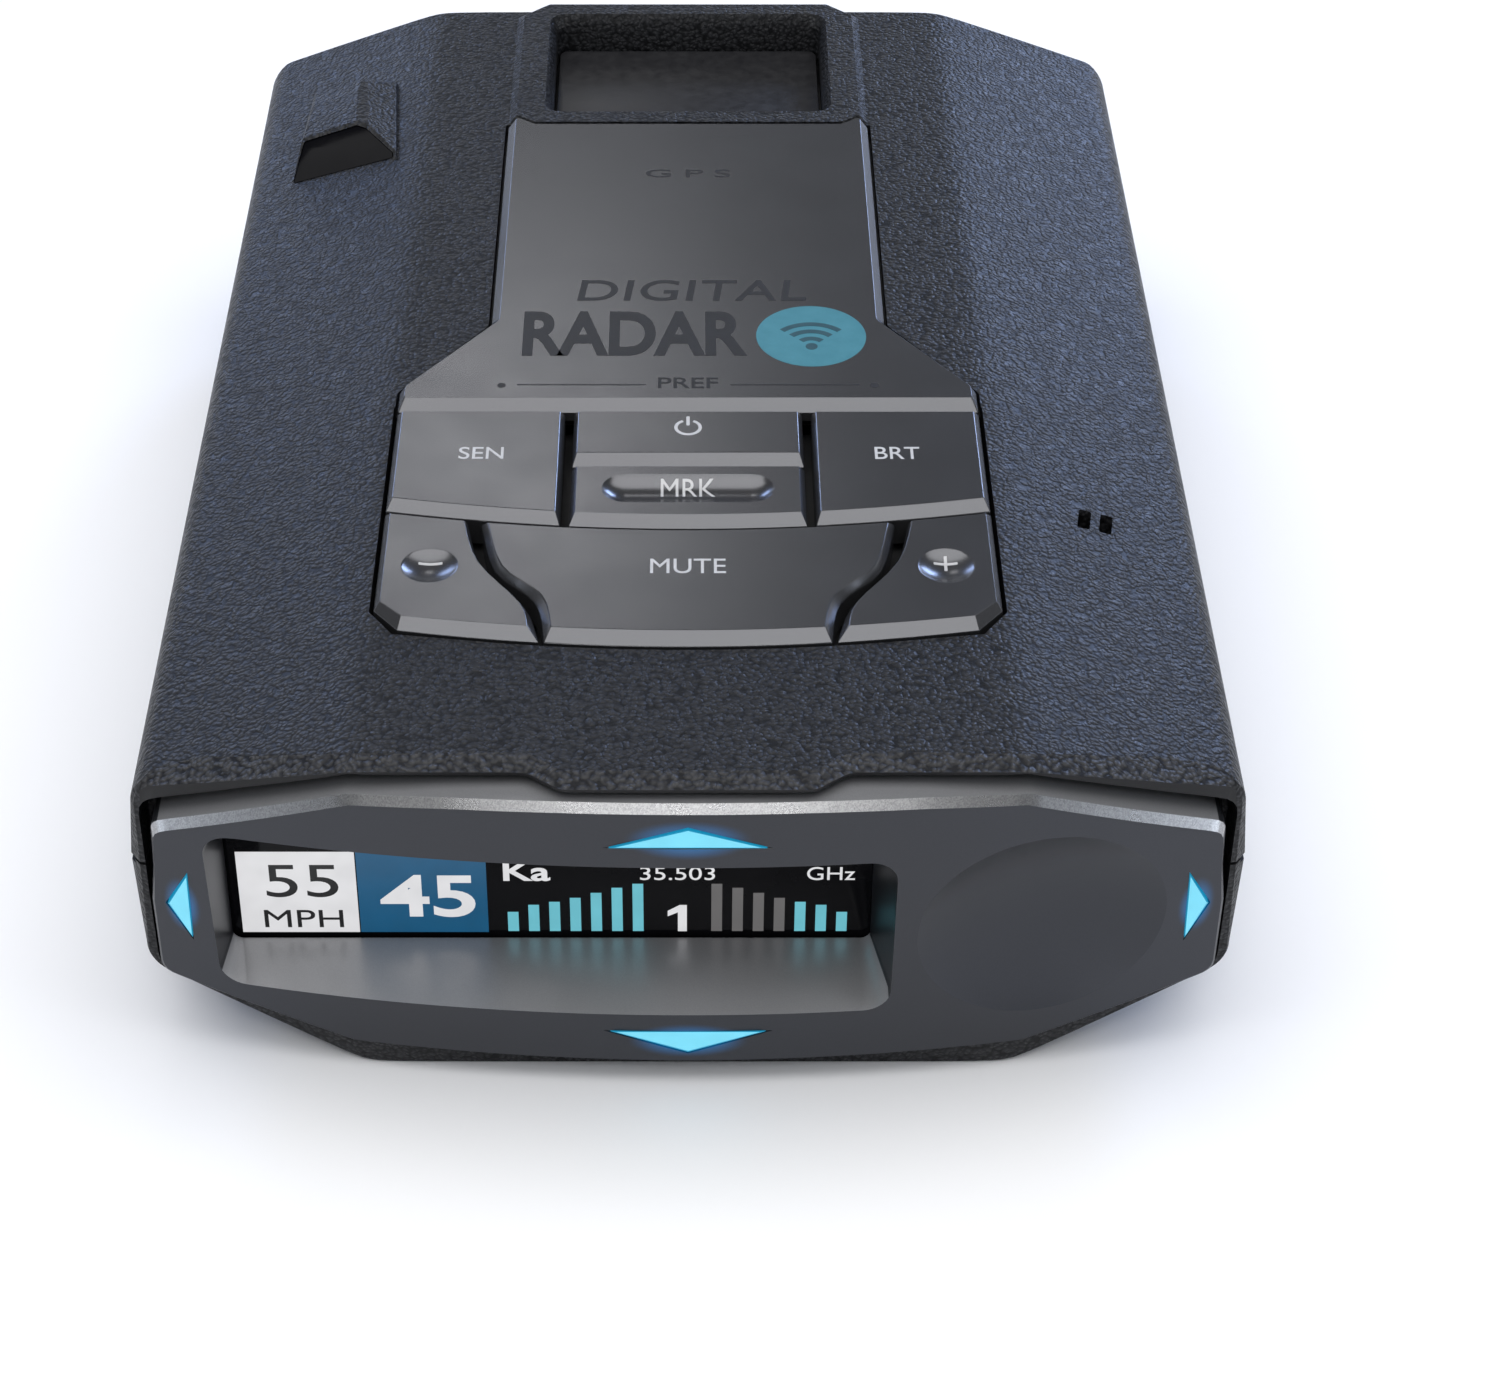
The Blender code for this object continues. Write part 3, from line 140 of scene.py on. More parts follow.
def carve(target, *steps, solver="MANIFOLD"):
    """Cuts with or joins on each (tool, operation) in turn; the tools are used up."""
    for tool, operation in steps:
        modifier = target.modifiers.new(tool.name, "BOOLEAN")
        modifier.operation = operation
        modifier.solver = solver
        modifier.object = tool
    bake(target)
    for tool, _ in steps:
        bpy.data.objects.remove(tool, do_unlink=True)
    return target


def soften(made, width, segments=2, angle=28.0):
    """Rounds the hard edges and shades the rest smooth."""
    bevel = made.modifiers.new("soft_edges", "BEVEL")
    bevel.width = width * MM
    bevel.segments = segments
    bevel.limit_method = "ANGLE"
    bevel.angle_limit = math.radians(angle)
    bevel.miter_outer = "MITER_ARC"
    bake(made)
    made.data.shade_smooth()
    made.data.set_sharp_from_angle(angle=math.radians(35.0))
    return made


def box(name, low, high):
    size = [(b - a) * MM for a, b in zip(low, high)]
    bm = bmesh.new()
    bmesh.ops.create_cube(bm, size=1.0, matrix=Matrix.Diagonal((*size, 1.0)))
    centre = Matrix.Translation([(a + b) / 2 * MM for a, b in zip(low, high)])
    bmesh.ops.transform(bm, matrix=centre, verts=bm.verts)
    return new_object(name, to_mesh(bm, name))


def slab(name, low, high):
    """A block wider and longer than the casing, between two heights."""
    return box(name, (-60, -80, low), (60, 80, high))


def cylinder(name, radius, low, high, place, sides=48, axis="Z"):
    """A round bar about a line through place; low and high are along the axis."""
    bm = bmesh.new()
    bmesh.ops.create_cone(bm, cap_ends=True, segments=sides, radius1=radius * MM,
                          radius2=radius * MM, depth=(high - low) * MM)
    bmesh.ops.translate(bm, vec=(0, 0, (low + high) / 2 * MM), verts=bm.verts)
    if axis == "X":
        bmesh.ops.rotate(bm, matrix=Matrix.Rotation(math.pi / 2, 3, "Y"), verts=bm.verts)
    bmesh.ops.translate(bm, vec=Vector(place) * MM, verts=bm.verts)
    return new_object(name, to_mesh(bm, name))


def ball(name, radius, matrix, segments=96, rings=64):
    bm = bmesh.new()
    bmesh.ops.create_uvsphere(bm, u_segments=segments, v_segments=rings, radius=radius * MM)
    bmesh.ops.transform(bm, matrix=matrix, verts=bm.verts)
    return new_object(name, to_mesh(bm, name))


def at(x, y, z):
    return Matrix.Translation(Vector((x, y, z)) * MM)


def loft(name, rings, pairs=0):
    """Skins rings of points and closes the ends; pairs says how many top points face a bottom one."""
    count = len(rings[0])
    bm = bmesh.new()
    skin = [[bm.verts.new(Vector(point) * MM) for point in ring] for ring in rings]
    for near, far in zip(skin, skin[1:]):
        for i in range(count):
            j = (i + 1) % count
            bm.faces.new((near[i], near[j], far[j], far[i]))
    for ring in (skin[0], skin[-1]):
        if not pairs:
            bm.faces.new(ring)
            continue
        sides = count // 2 - pairs
        bottom = ring[pairs + sides:2 * pairs + sides][::-1]
        for i in range(pairs - 1):
            bm.faces.new((ring[i], ring[i + 1], bottom[i + 1], bottom[i]))
        if sides:
            bm.faces.new(ring[pairs - 1:pairs + sides + 1])
            bm.faces.new([*ring[2 * pairs + sides - 1:], ring[0]])
    return new_object(name, to_mesh(bm, name))


def corner_arc(tip, back, ahead, radius, steps):
    """An arc that rounds the corner at tip, from its arm back to its arm ahead."""
    half = back.angle(ahead) / 2
    centre = tip + (back + ahead).normalized() * (radius / math.sin(half))
    first = tip + back * (radius / math.tan(half)) - centre
    sweep = first.angle_signed(tip + ahead * (radius / math.tan(half)) - centre)
    points = []
    for step in range(steps + 1):
        arm = first.copy()
        arm.rotate(Matrix.Rotation(-sweep * step / steps, 2))
        points.append(tuple(centre + arm))
    return points


def rounded(corners, steps=5):
    """Corners given as (u, v, radius) become an outline whose corners are arcs."""
    outline = []
    for index, (u, v, radius) in enumerate(corners):
        here = Vector((u, v))
        back = (Vector(corners[index - 1][:2]) - here).normalized()
        ahead = (Vector(corners[(index + 1) % len(corners)][:2]) - here).normalized()
        outline += corner_arc(here, back, ahead, radius, steps)
    return outline


def rounded_box(x, y, radius, steps=5):
    return rounded([(x[0], y[0], radius), (x[1], y[0], radius), (x[1], y[1], radius), (x[0], y[1], radius)],
                   steps)


def mirrored(points):
    return [(-u, *rest) for u, *rest in reversed(points)]


def at_heights(*levels):
    """Rings from (outline, height) pairs."""
    return [[(x, y, z) for x, y in outline] for outline, z in levels]


def plate(name, outline, low, high):
    """An x-y outline given thickness."""
    return loft(name, at_heights((outline, low), (outline, high)))


def upright(name, outline, near, far):
    """An x-z outline given depth along y."""
    return loft(name, [[(x, y, z) for x, z in outline] for y in (near, far)])


def soft_ramp(u, soft):
    """Nought below zero and u above it, with a rounded corner."""
    return 0.5 * (u + math.sqrt(u * u + soft * soft))


# ---- node helpers for materials

def material(name, colour, roughness, metallic=0.0):
    made = bpy.data.materials.new(name)
    made.use_nodes = True
    shader = made.node_tree.nodes["Principled BSDF"]
    shader.inputs["Base Color"].default_value = (*colour, 1.0)
    shader.inputs["Roughness"].default_value = roughness
    shader.inputs["Metallic"].default_value = metallic
    return made


def node(made, kind, **settings):
    added = made.node_tree.nodes.new(kind)
    for key, value in settings.items():
        if key in added.inputs:
            added.inputs[key].default_value = value
        else:
            setattr(added, key, value)
    return added


def wire(made, source, target, out=0, into=0):
    made.node_tree.links.new(source.outputs[out], target.inputs[into])
    return target


def shader_of(made):
    return made.node_tree.nodes["Principled BSDF"]


def object_space(made):
    return node(made, "ShaderNodeTexCoord")


def noise(made, scale, detail=2.0, rough=0.5):
    """A noise texture in object space; scale counts features a metre."""
    texture = node(made, "ShaderNodeTexNoise", Scale=scale, Detail=detail, Roughness=rough)
    wire(made, object_space(made), texture, "Object", "Vector")
    return texture


def remap(made, source, low, high, to_low, to_high, out=0):
    ramp = node(made, "ShaderNodeMapRange")
    ramp.inputs["From Min"].default_value = low
    ramp.inputs["From Max"].default_value = high
    ramp.inputs["To Min"].default_value = to_low
    ramp.inputs["To Max"].default_value = to_high
    wire(made, source, ramp, out, "Value")
    return ramp


def blend(made, factor, dark, light):
    """A mix of two colours by a factor; its colour is output 2."""
    mix = node(made, "ShaderNodeMix", data_type="RGBA")
    mix.inputs[6].default_value = (*dark, 1.0)
    mix.inputs[7].default_value = (*light, 1.0)
    return wire(made, factor, mix)


def tint(made, factor, dark, light):
    wire(made, blend(made, factor, dark, light), shader_of(made), 2, "Base Color")


def bump(made, height, strength, distance, under=None):
    added = node(made, "ShaderNodeBump", Strength=strength, Distance=distance * MM)
    wire(made, height, added, into="Height")
    if under:
        wire(made, under, added, into="Normal")
    wire(made, added, shader_of(made), into="Normal")
    return added


def spread_of(made, texture):
    """A texture's middle values stretched over nought to one."""
    return remap(made, texture, 0.3, 0.7, 0.0, 1.0)


def rough(made, source, low, high):
    wire(made, remap(made, source, 0.3, 0.7, low, high), shader_of(made), into="Roughness")


def grain_plastic(name, dark, light, pebble, depth, roughness):
    """Moulded leather grain: irregular pebbles with soft creases, and finer wrinkles on them; the creases are
    painted darker and the pebble tops lighter, as painted shade and painted highlight.
    """
    made = material(name, dark, roughness)
    warp = noise(made, 520.0, 3.0, 0.6)
    shift = node(made, "ShaderNodeVectorMath", operation="MULTIPLY_ADD")
    shift.inputs[1].default_value = (0.0011, 0.0011, 0.0011)
    wire(made, warp, shift, "Color", 0)
    wire(made, object_space(made), shift, "Object", 2)
    cells = node(made, "ShaderNodeTexVoronoi", feature="SMOOTH_F1", Scale=1000.0 / pebble, Smoothness=0.5)
    wire(made, shift, cells, 0, "Vector")
    pebbles = remap(made, cells, 0.15, 0.75, 1.0, 0.0, out="Distance")
    coarse = bump(made, pebbles, 1.0, depth)
    wrinkles = noise(made, 3200.0, 3.0, 0.65)
    bump(made, wrinkles, 0.5, depth * 0.35, under=coarse)
    # Painted shade and highlight: the creases between pebbles are tinted darker and the pebble tops lighter.
    tint(made, pebbles, dark, light)
    rough(made, noise(made, 900.0, 2.0), roughness - 0.06, roughness + 0.08)
    return made


def satin_paint(name, dark, light, metallic, roughness, fleck=0.06):
    """Metallic paint: fine flecks that vary the colour, and a faint orange-peel surface."""
    made = material(name, dark, roughness, metallic)
    flecks = node(made, "ShaderNodeTexVoronoi", feature="F1", Scale=1000.0 / fleck)
    wire(made, object_space(made), flecks, "Object", "Vector")
    tint(made, remap(made, flecks, 0.0, 1.0, 0.0, 1.0, out="Color"), dark, light)
    rough(made, noise(made, 160.0, 2.0), roughness - 0.015, roughness + 0.015)
    bump(made, noise(made, 700.0, 2.0), 0.05, 0.004)
    return made


def speckled(name, dark, light, roughness, metallic=0.0, scale=800.0, depth=0.01):
    """A plain moulded, plated or printed surface with slight variation and micro relief."""
    made = material(name, dark, roughness, metallic)
    spread = noise(made, scale, 4.0, 0.6)
    tint(made, spread_of(made, spread), dark, light)
    rough(made, spread, roughness - 0.05, roughness + 0.05)
    bump(made, spread, 0.3, depth)
    return made


def glowing(name, colour, glow, strength):
    """A lit surface: colour, with emission that varies softly across it."""
    made = material(name, colour, 0.35)
    shader_of(made).inputs["Emission Strength"].default_value = strength
    spread = spread_of(made, noise(made, 400.0, 1.0))
    wire(made, blend(made, spread, [part * 0.9 for part in glow], glow), shader_of(made), 2, "Emission Color")
    return made


def halo(made, centre, reach):
    """A factor that falls from one to nought away from a place on the bezel's face."""
    away = node(made, "ShaderNodeVectorMath", operation="SUBTRACT")
    away.inputs[1].default_value = (centre[0] * MM, 0.0, centre[1] * MM)
    wire(made, object_space(made), away, "Object", 0)
    scaled = node(made, "ShaderNodeVectorMath", operation="MULTIPLY")
    scaled.inputs[1].default_value = (1 / (reach[0] * MM), 0.0, 1 / (reach[1] * MM))
    wire(made, away, scaled)
    length = node(made, "ShaderNodeVectorMath", operation="LENGTH")
    wire(made, scaled, length)
    fall = remap(made, length, 0.35, 1.0, 1.0, 0.0, out="Value")
    fall.interpolation_type = "SMOOTHSTEP"
    return fall


def painted_arrow_glow(made, colour, strength, places):
    """Painted glow: emission on the paint around the arrows stands in for the arrows' light spreading onto
    the bezel.
    """
    total = halo(made, *places[0])
    for place in places[1:]:
        both = node(made, "ShaderNodeMath", operation="ADD")
        wire(made, total, both)
        total = wire(made, halo(made, *place), both, 0, 1)
    amount = node(made, "ShaderNodeMath", operation="MULTIPLY")
    amount.inputs[1].default_value = strength
    wire(made, total, amount)
    shader_of(made).inputs["Emission Color"].default_value = (*colour, 1.0)
    wire(made, amount, shader_of(made), into="Emission Strength")
    return made


def greys(dark, light, blue=0.0):
    """Two greys, whose blue part may be a little higher."""
    return (dark, dark, dark + blue), (light, light, light + blue)


LOOKS = {
    "case": grain_plastic("case_grain", (0.005, 0.0052, 0.006), (0.026, 0.0265, 0.029), 0.40, 0.08, 0.42),
    "lip": grain_plastic("lip_grain", (0.004, 0.004, 0.005), (0.050, 0.050, 0.052), 0.45, 0.12, 0.45),
    # Smooth moulded plastic, also put on the lips' front faces as painted shade.
    "smooth_case_and_shade": speckled("case_smooth_and_shade", *greys(0.006, 0.010, 0.001), 0.45),
    # The bezel paint carries a painted glow round the arrows, emitted by the paint itself.
    "bezel": painted_arrow_glow(satin_paint("bezel_paint", (0.040, 0.042, 0.048), (0.046, 0.048, 0.056), 0.75, 0.36),
                         (0.0, 0.10, 0.28), 0.9,
                         [((0.0, 29.3), (5.2, 2.3)), ((0.0, 5.4), (5.2, 2.2)), ((-41.0, 17.4), (1.6, 3.4)),
                          ((41.2, 17.4), (1.6, 3.4))]),
    # Painted light: a much lighter copy of the bezel paint for the display pocket's floor, standing in for
    # the light it catches.
    "bezel_floor_painted_light": satin_paint("bezel_floor_painted_light", *greys(0.34, 0.39, 0.01), 0.3, 0.32),
    # Painted light: a lighter copy of the bezel paint for the upward faces behind the front chamfer.
    "bezel_ledge_painted_light": satin_paint("bezel_ledge_painted_light", (0.19, 0.192, 0.20), (0.22, 0.222, 0.23), 0.3, 0.38),
    # Partly a silver tone and partly a painted highlight: a bright metallic copy of the bezel paint for the
    # front top chamfer.
    "bezel_strip_and_highlight": satin_paint("bezel_strip_and_highlight", *greys(0.26, 0.46, 0.005), 0.9, 0.28, 0.10),
    "gunmetal": satin_paint("gunmetal_paint", (0.100, 0.101, 0.107), (0.110, 0.111, 0.117), 0.8, 0.25),
    "plate": speckled("plate_coating", *greys(0.016, 0.026, 0.002), 0.34, 0.0),
    "black_lens": speckled("black_lens", *greys(0.002, 0.004, 0.001), 0.08, 0.0, 300.0, 0.001),
    "window": speckled("window_black", *greys(0.003, 0.005, 0.001), 0.12, 0.0, 300.0, 0.001),
    "arrow": glowing("arrow_light", (0.05, 0.20, 0.25), (0.16, 0.60, 0.78), 0.92),
    "arrow_edge": glowing("arrow_edge", (0.01, 0.10, 0.16), (0.006, 0.28, 0.48), 0.8),
    "screen_white": glowing("screen_white", (0.10, 0.10, 0.10), (0.80, 0.80, 0.82), 0.85),
    "screen_blue": glowing("screen_blue", (0.0, 0.01, 0.02), (0.002, 0.075, 0.17), 1.0),
    "screen_cyan": glowing("screen_cyan", (0.02, 0.06, 0.07), (0.16, 0.56, 0.66), 0.85),
    "screen_grey": glowing("screen_grey", (0.02, 0.02, 0.02), (0.15, 0.145, 0.145), 0.8),
    "ink_black": speckled("ink_black", *greys(0.004, 0.008, 0.001), 0.4, depth=0.001),
    "print_dark": speckled("print_dark", *greys(0.006, 0.010, 0.001), 0.42, depth=0.001),
    "print_silver": speckled("print_silver", *greys(0.46, 0.54, 0.01), 0.45, 0.1, depth=0.001),
    "badge": speckled("badge_cyan", (0.035, 0.17, 0.22), (0.048, 0.20, 0.255), 0.38, depth=0.001),
    "badge_ink": speckled("badge_ink", (0.010, 0.05, 0.07), (0.016, 0.07, 0.09), 0.4, depth=0.001),
    "steel": speckled("plated_steel", (0.45, 0.45, 0.46), (0.58, 0.58, 0.58), 0.3, 1.0),
    "circuit_board": speckled("solder_mask", (0.012, 0.10, 0.04), (0.02, 0.14, 0.06), 0.4),
    "black_plastic": speckled("black_plastic", *greys(0.012, 0.022, 0.001), 0.48),
    "flex_film": speckled("flex_film", (0.40, 0.20, 0.04), (0.50, 0.26, 0.06), 0.35),
    "cast_zinc": speckled("cast_zinc", *greys(0.36, 0.50, 0.01), 0.45, 1.0),
    "tinned_can": speckled("tinned_can", *greys(0.55, 0.70, -0.02), 0.3, 1.0),
    "ceramic": speckled("ceramic", (0.48, 0.43, 0.34), (0.58, 0.53, 0.44), 0.6),
    "paper_cone": speckled("paper_cone", *greys(0.02, 0.04), 0.85),
    "label_film": speckled("label_film", *greys(0.26, 0.34, 0.01), 0.5, 0.2),
}
SHINE = {"case": 0.2, "lip": 0.2, "smooth_case_and_shade": 0.25, "plate": 0.25, "black_plastic": 0.3,
         "black_lens": 0.06, "window": 0.1}
for look, level in SHINE.items():
    shader_of(LOOKS[look]).inputs["Specular IOR Level"].default_value = level


def dress(made, *looks):
    made.data.materials.clear()
    for look in looks:
        made.data.materials.append(LOOKS[look])
    return made


def stand_for(made, slot, *nodes, body="casing"):
    """A piece rides on a body and replaces its CAD nodes, which are hidden; slot is not used."""
    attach(made, body)
    if nodes:
        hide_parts(*nodes)
    return made


# ---- casing form

def facet_z(x):
    return TOP_Z - FACET_SLOPE * (soft_ramp(abs(x) - FLAT_HALF, 1.1) - soft_ramp(-FLAT_HALF, 1.1))


def underside_z(x):
    return UNDERSIDE_SLOPE * (soft_ramp(abs(x) - UNDERSIDE_HALF, 1.0) - soft_ramp(-UNDERSIDE_HALF, 1.0))


def shoulder(corner_x, corner_z, slope, radius, upper, lean):
    """Arc from a sloping facet onto the side, which leans out towards the parting line."""
    along = Vector((-1.0, slope if upper else -slope)).normalized()
    down = Vector((lean, -1.0 if upper else 1.0)).normalized()
    return corner_arc(Vector((corner_x, corner_z)), along, down, radius, 6)


def section_xs(last):
    """Places across the body where its section has points, closer where the rim steps."""
    xs = [0.0, 4.0, 7.5, 9.2, 9.6, 9.9, 10.3, 11.0, 11.7, 12.2, 12.5, 12.9, 13.6, 17.0, 21.0, 24.0, 25.4,
          26.2, 26.8, 27.6, 29.0, 32.0, 35.0, 38.0]
    return [x for x in xs if x < last - 1.0]


def casing_section():
    tip_x = SIDE_X - SIDE_LEAN * 8.8
    arc = shoulder(tip_x, facet_z(tip_x), FACET_SLOPE, 2.8, True, SIDE_LEAN)
    low_x = SIDE_X - LOW_SIDE_LEAN * 11.8
    low_arc = shoulder(low_x, underside_z(low_x), UNDERSIDE_SLOPE, 2.6, False, LOW_SIDE_LEAN)
    top = [(x, facet_z(x)) for x in section_xs(arc[0][0])] + arc
    bottom = [(x, underside_z(x)) for x in section_xs(low_arc[0][0])] + low_arc
    return top, [(SIDE_X, PARTING_Z)], bottom


def whole_ring(half_top, half_side, half_bottom):
    top = mirrored(half_top[1:]) + half_top
    bottom = list(reversed(half_bottom)) + [(-x, y, z) for x, y, z in half_bottom[1:]]
    left = [(-x, y, z) for x, y, z in reversed(half_side)]
    return top + half_side + bottom + left


def casing_ring(y_of, inset=0.0, squeeze=None):
    middle = TOP_Z / 2
    rows = []
    for group, points in zip(("top", "side", "bottom"), casing_section()):
        row = []
        for x, z in points:
            y = y_of(group, x, z)
            if squeeze:
                x, z = squeeze(group, x, z)
            row.append((x * (1 - inset / SIDE_X), y, middle + (z - middle) * (1 - inset / middle)))
        rows.append(row)
    return whole_ring(*rows)


def tongue_step(x):
    """1 on the rim's middle tongue, 0 beyond it, with rounded corners between."""
    t = (x - TONGUE_HALF) / (TONGUE_FOOT_HALF - TONGUE_HALF)
    return 1.0 - (soft_ramp(t, 0.16) - soft_ramp(t - 1.0, 0.16))


def rim_front(group, x, z):
    sweep = RIM_SWEEP * (soft_ramp(x - FLAT_HALF, 1.5) - soft_ramp(-FLAT_HALF, 1.5))
    if group == "top":
        return RIM_Y + (TONGUE_Y - RIM_Y) * tongue_step(x) + sweep + (TOP_Z - z) * UNDERCUT * 0.5
    return RIM_Y - (1.0 if group == "bottom" else 0.0) + sweep + (TOP_Z - z) * UNDERCUT


def rim_depth(group, x):
    """How far back the rim's bevel reaches: wide on top, narrow round the sides."""
    if group != "top":
        return RIM_SIDE_DEPTH
    wide = RIM_DEPTH + RIM_DEPTH_GROWTH * soft_ramp(x - FLAT_HALF, 1.5)
    return wide - (wide - RIM_SIDE_DEPTH) * min(1.0, max(0.0, (x - 41.4) / 2.2))


def rim_squeeze(group, x, z, share):
    """Draws the rim's front edge in; share is how much of that is left farther back."""
    if group == "top":
        side = min(1.0, max(0.0, (x - 41.0) / 2.5))
        return x - 0.3 * side * share, z - 0.4 * (1 - side * 0.5) * share
    if group == "bottom":
        return x - 0.2 * share, z + 0.2 * share
    return x - 0.3 * share, z


def rim_ring(part):
    """A ring a part of the way back over the rim's bevel."""
    return casing_ring(lambda group, x, z: rim_front(group, x, z) + rim_depth(group, x) * part,
                       squeeze=lambda group, x, z: rim_squeeze(group, x, z, 1 - part))


def nose_path(t):
    """Outward and downward progress round the antenna end's edge, t from 0 to 1."""
    angle = t * math.pi / 2
    return 0.5 * math.sin(angle) + 0.5 * t, 0.5 * (1 - math.cos(angle)) + 0.5 * t


def nose_ring(t, inset, back):
    out, drop = nose_path(t)

    def place(group, x, z):
        sweep = soft_ramp(x - FLAT_HALF, 2.0) - soft_ramp(-FLAT_HALF, 2.0)
        drawn_in = {"top": sweep * 0.15 + soft_ramp(x - 43.0, 0.4), "side": 0.0, "bottom": sweep * 0.25}
        crest = NOSE_CREST_Y[group] - drawn_in[group]
        end = NOSE_Y - x * x * NOSE_CROWN - sweep * 0.24
        return crest + (end - crest) * out - back

    def squeeze(group, x, z):
        x *= 1 - 0.07 * drop
        if group == "top":
            return x, z + (min(z, NOSE_SPAN_Z[1]) - z) * drop
        if group == "side":
            return x, z * (1 - 0.15 * drop)
        return x, z + (max(z, NOSE_SPAN_Z[0]) - z) * drop

    return casing_ring(place, inset, squeeze)


def nose_rings(inset, back):
    return [nose_ring(step / 8, inset, back) for step in range(9)]


def casing_pairs():
    return 2 * len(casing_section()[0]) - 1


def casing_form(name, inset=0.0, front=None):
    """The casing's outer form, or a form inside it from a flat front."""
    if front is not None:
        rings = [casing_ring(lambda group, x, z: front, inset)]
    else:
        rings = [rim_ring(part) for part in (0.0, 0.93, 1.0)]
    return loft(name, rings + nose_rings(inset, inset * 0.9), pairs=casing_pairs())


# ---- bezel form

def face_y(x, z):
    return FACE_FRONT_Y + x * x / (2 * BEZEL_ARC_RADIUS) + (32.7 - z) * UNDERCUT


def polyline(points, xs):
    """Heights of a chain of points at the given places."""
    heights = []
    for x in xs:
        for (x0, z0), (x1, z1) in zip(points, points[1:]):
            if x <= x1 or (x1, z1) == points[-1]:
                heights.append(z0 + (z1 - z0) * (x - x0) / (x1 - x0))
                break
    return heights


def bezel_section(grow=0.0):
    """Half outline of the bezel: points along the top, on the side and along the bottom."""
    top_chain = [(0.0, BEZEL_TOP_Z), (10.0, 32.83), (18.4, 32.66), (26.5, 32.17), (41.6, 26.65),
                 (42.2, 26.38), (42.6, 26.05), (42.8, 25.6), (42.87, 25.0)]
    low_chain = [(0.0, BEZEL_BOTTOM_Z), (16.0, 2.82), (27.9, 3.05), (42.2, 8.28), (42.8, 8.52), (43.25, 8.85),
                 (43.5, 9.3), (BEZEL_SIDE_X, 9.9)]
    wide = (BEZEL_SIDE_X + grow) / BEZEL_SIDE_X
    halves = []
    for chain, bend, rise in ((top_chain, 26.5, grow), (low_chain, 27.9, -grow)):
        xs = [x * 1.2 for x in range(34) if abs(x * 1.2 - bend) > 0.5] + [bend] + [x for x, _ in chain[-5:]]
        xs.sort()
        halves.append([(x * wide, z + rise) for x, z in zip(xs, polyline(chain, xs))])
    return halves[0], [(43.1 * wide, 21.0), (43.5 * wide, 17.4)], halves[1]


def bezel_ring(y_of, grow=0.0, top_drop=0.0, edge=0.0):
    top, side, low = bezel_section(grow - edge)
    return whole_ring([(x, y_of(x, z - top_drop), z - top_drop) for x, z in top],
                      [(x, y_of(x, z), z) for x, z in side], [(x, y_of(x, z), z) for x, z in low])


def bezel_pairs():
    return 2 * len(bezel_section()[0]) - 1


def mouth_ring(y):
    """One ring of the casing's opening around the bezel."""
    top = [(0.0, 33.6), (26.5, 33.6), (42.0, 28.14), (42.85, 27.76), (43.4, 27.3), (43.75, 26.7),
           (43.87, 25.9)]
    low = [(0.0, 2.3), (27.7, 2.7), (42.2, 7.86), (42.9, 8.15), (43.5, 8.6), (43.85, 9.2), (43.95, 9.9)]
    return whole_ring(*([(x, y, z) for x, z in part] for part in (top, [(43.9, 21.0), (43.95, 17.4)], low)))


def face_frame(x, z, depth=0.0):
    """A matrix on the bezel's face whose Z axis points out of it, at a depth behind it."""
    out = Vector((x / BEZEL_ARC_RADIUS, -1.0, -UNDERCUT)).normalized()
    turn = out.to_track_quat("Z", "Y").to_matrix().to_4x4()
    here = Vector((x, face_y(x, z), z)) - out * depth
    return Matrix.Translation(here * MM) @ turn


def face_prism(name, outline, out, behind):
    """An x-z outline that stands out of the bezel's face by out and ends behind it."""
    rings = [[(x, face_y(x, z) + depth, z) for x, z in outline] for depth in (-out, behind)]
    return loft(name, rings)


# ---- casing halves

STRIP_HALF = 18.1
STRIP_CREST_HALF = 17.35
STRIP_WIDE_HALF = 25.8
STRIP_REAR_Y = 35.4
STRIP_WIDEN_Y = -0.8
STRIP_WIDE_Y = -11.7
STRIP_FOOT_Y = -14.9
STRIP_CREST_Y = -13.5
RECESS_HALF = 13.9
RECESS_Y = (38.6, 58.2)
RECESS_FLOOR_Z = PLATE_HIGH[2]
MOUTH_BACK_Y = -55.1
FEET = {f"{end}_{side}": (x, y, 0)
        for side, x in (("left", -21.5), ("right", 21.5)) for end, y in (("front", -52.0), ("rear", 50.0))}
SCREW_NODES = [f"case_screw_{end}_{side}" for end in ("front", "rear") for side in ("left", "right")]


def middle_of(node_name):
    low, high = cad(node_name)
    return [(a + b) / 2 for a, b in zip(low, high)]


def mouth_tool(name):
    """The opening's block; the rings have 13 points along the top."""
    return loft(name, [mouth_ring(y) for y in (-72.0, MOUTH_BACK_Y)], pairs=13)


def foot_row_one(x):
    return -32.25 + 0.0037 * x * x


def crest_row_one(x):
    return -31.1 + 0.0038 * x * x


def foot_row_two(x):
    return -48.3 + 0.0038 * x * x


def crest_row_two(x):
    return -47.0 + 0.0035 * x * x


def sweep(start, end, steps):
    """Evenly spaced values, both ends included."""
    return [start + (end - start) * i / steps for i in range(steps + 1)]


def strip_outline(half, wide_half, rear_y, foot_y):
    """The control strip: a narrow spine that widens towards the buttons."""
    notch = 0.8 if half < STRIP_HALF else 0.0
    right = [(wide_half, foot_y, 0.25), (wide_half, STRIP_WIDE_Y, 1.2), (half, STRIP_WIDEN_Y, 1.5),
             (half, rear_y + 0.6 + notch, 0.25), (15.4, rear_y, 0.6)]
    return rounded(right + mirrored(right), 4)


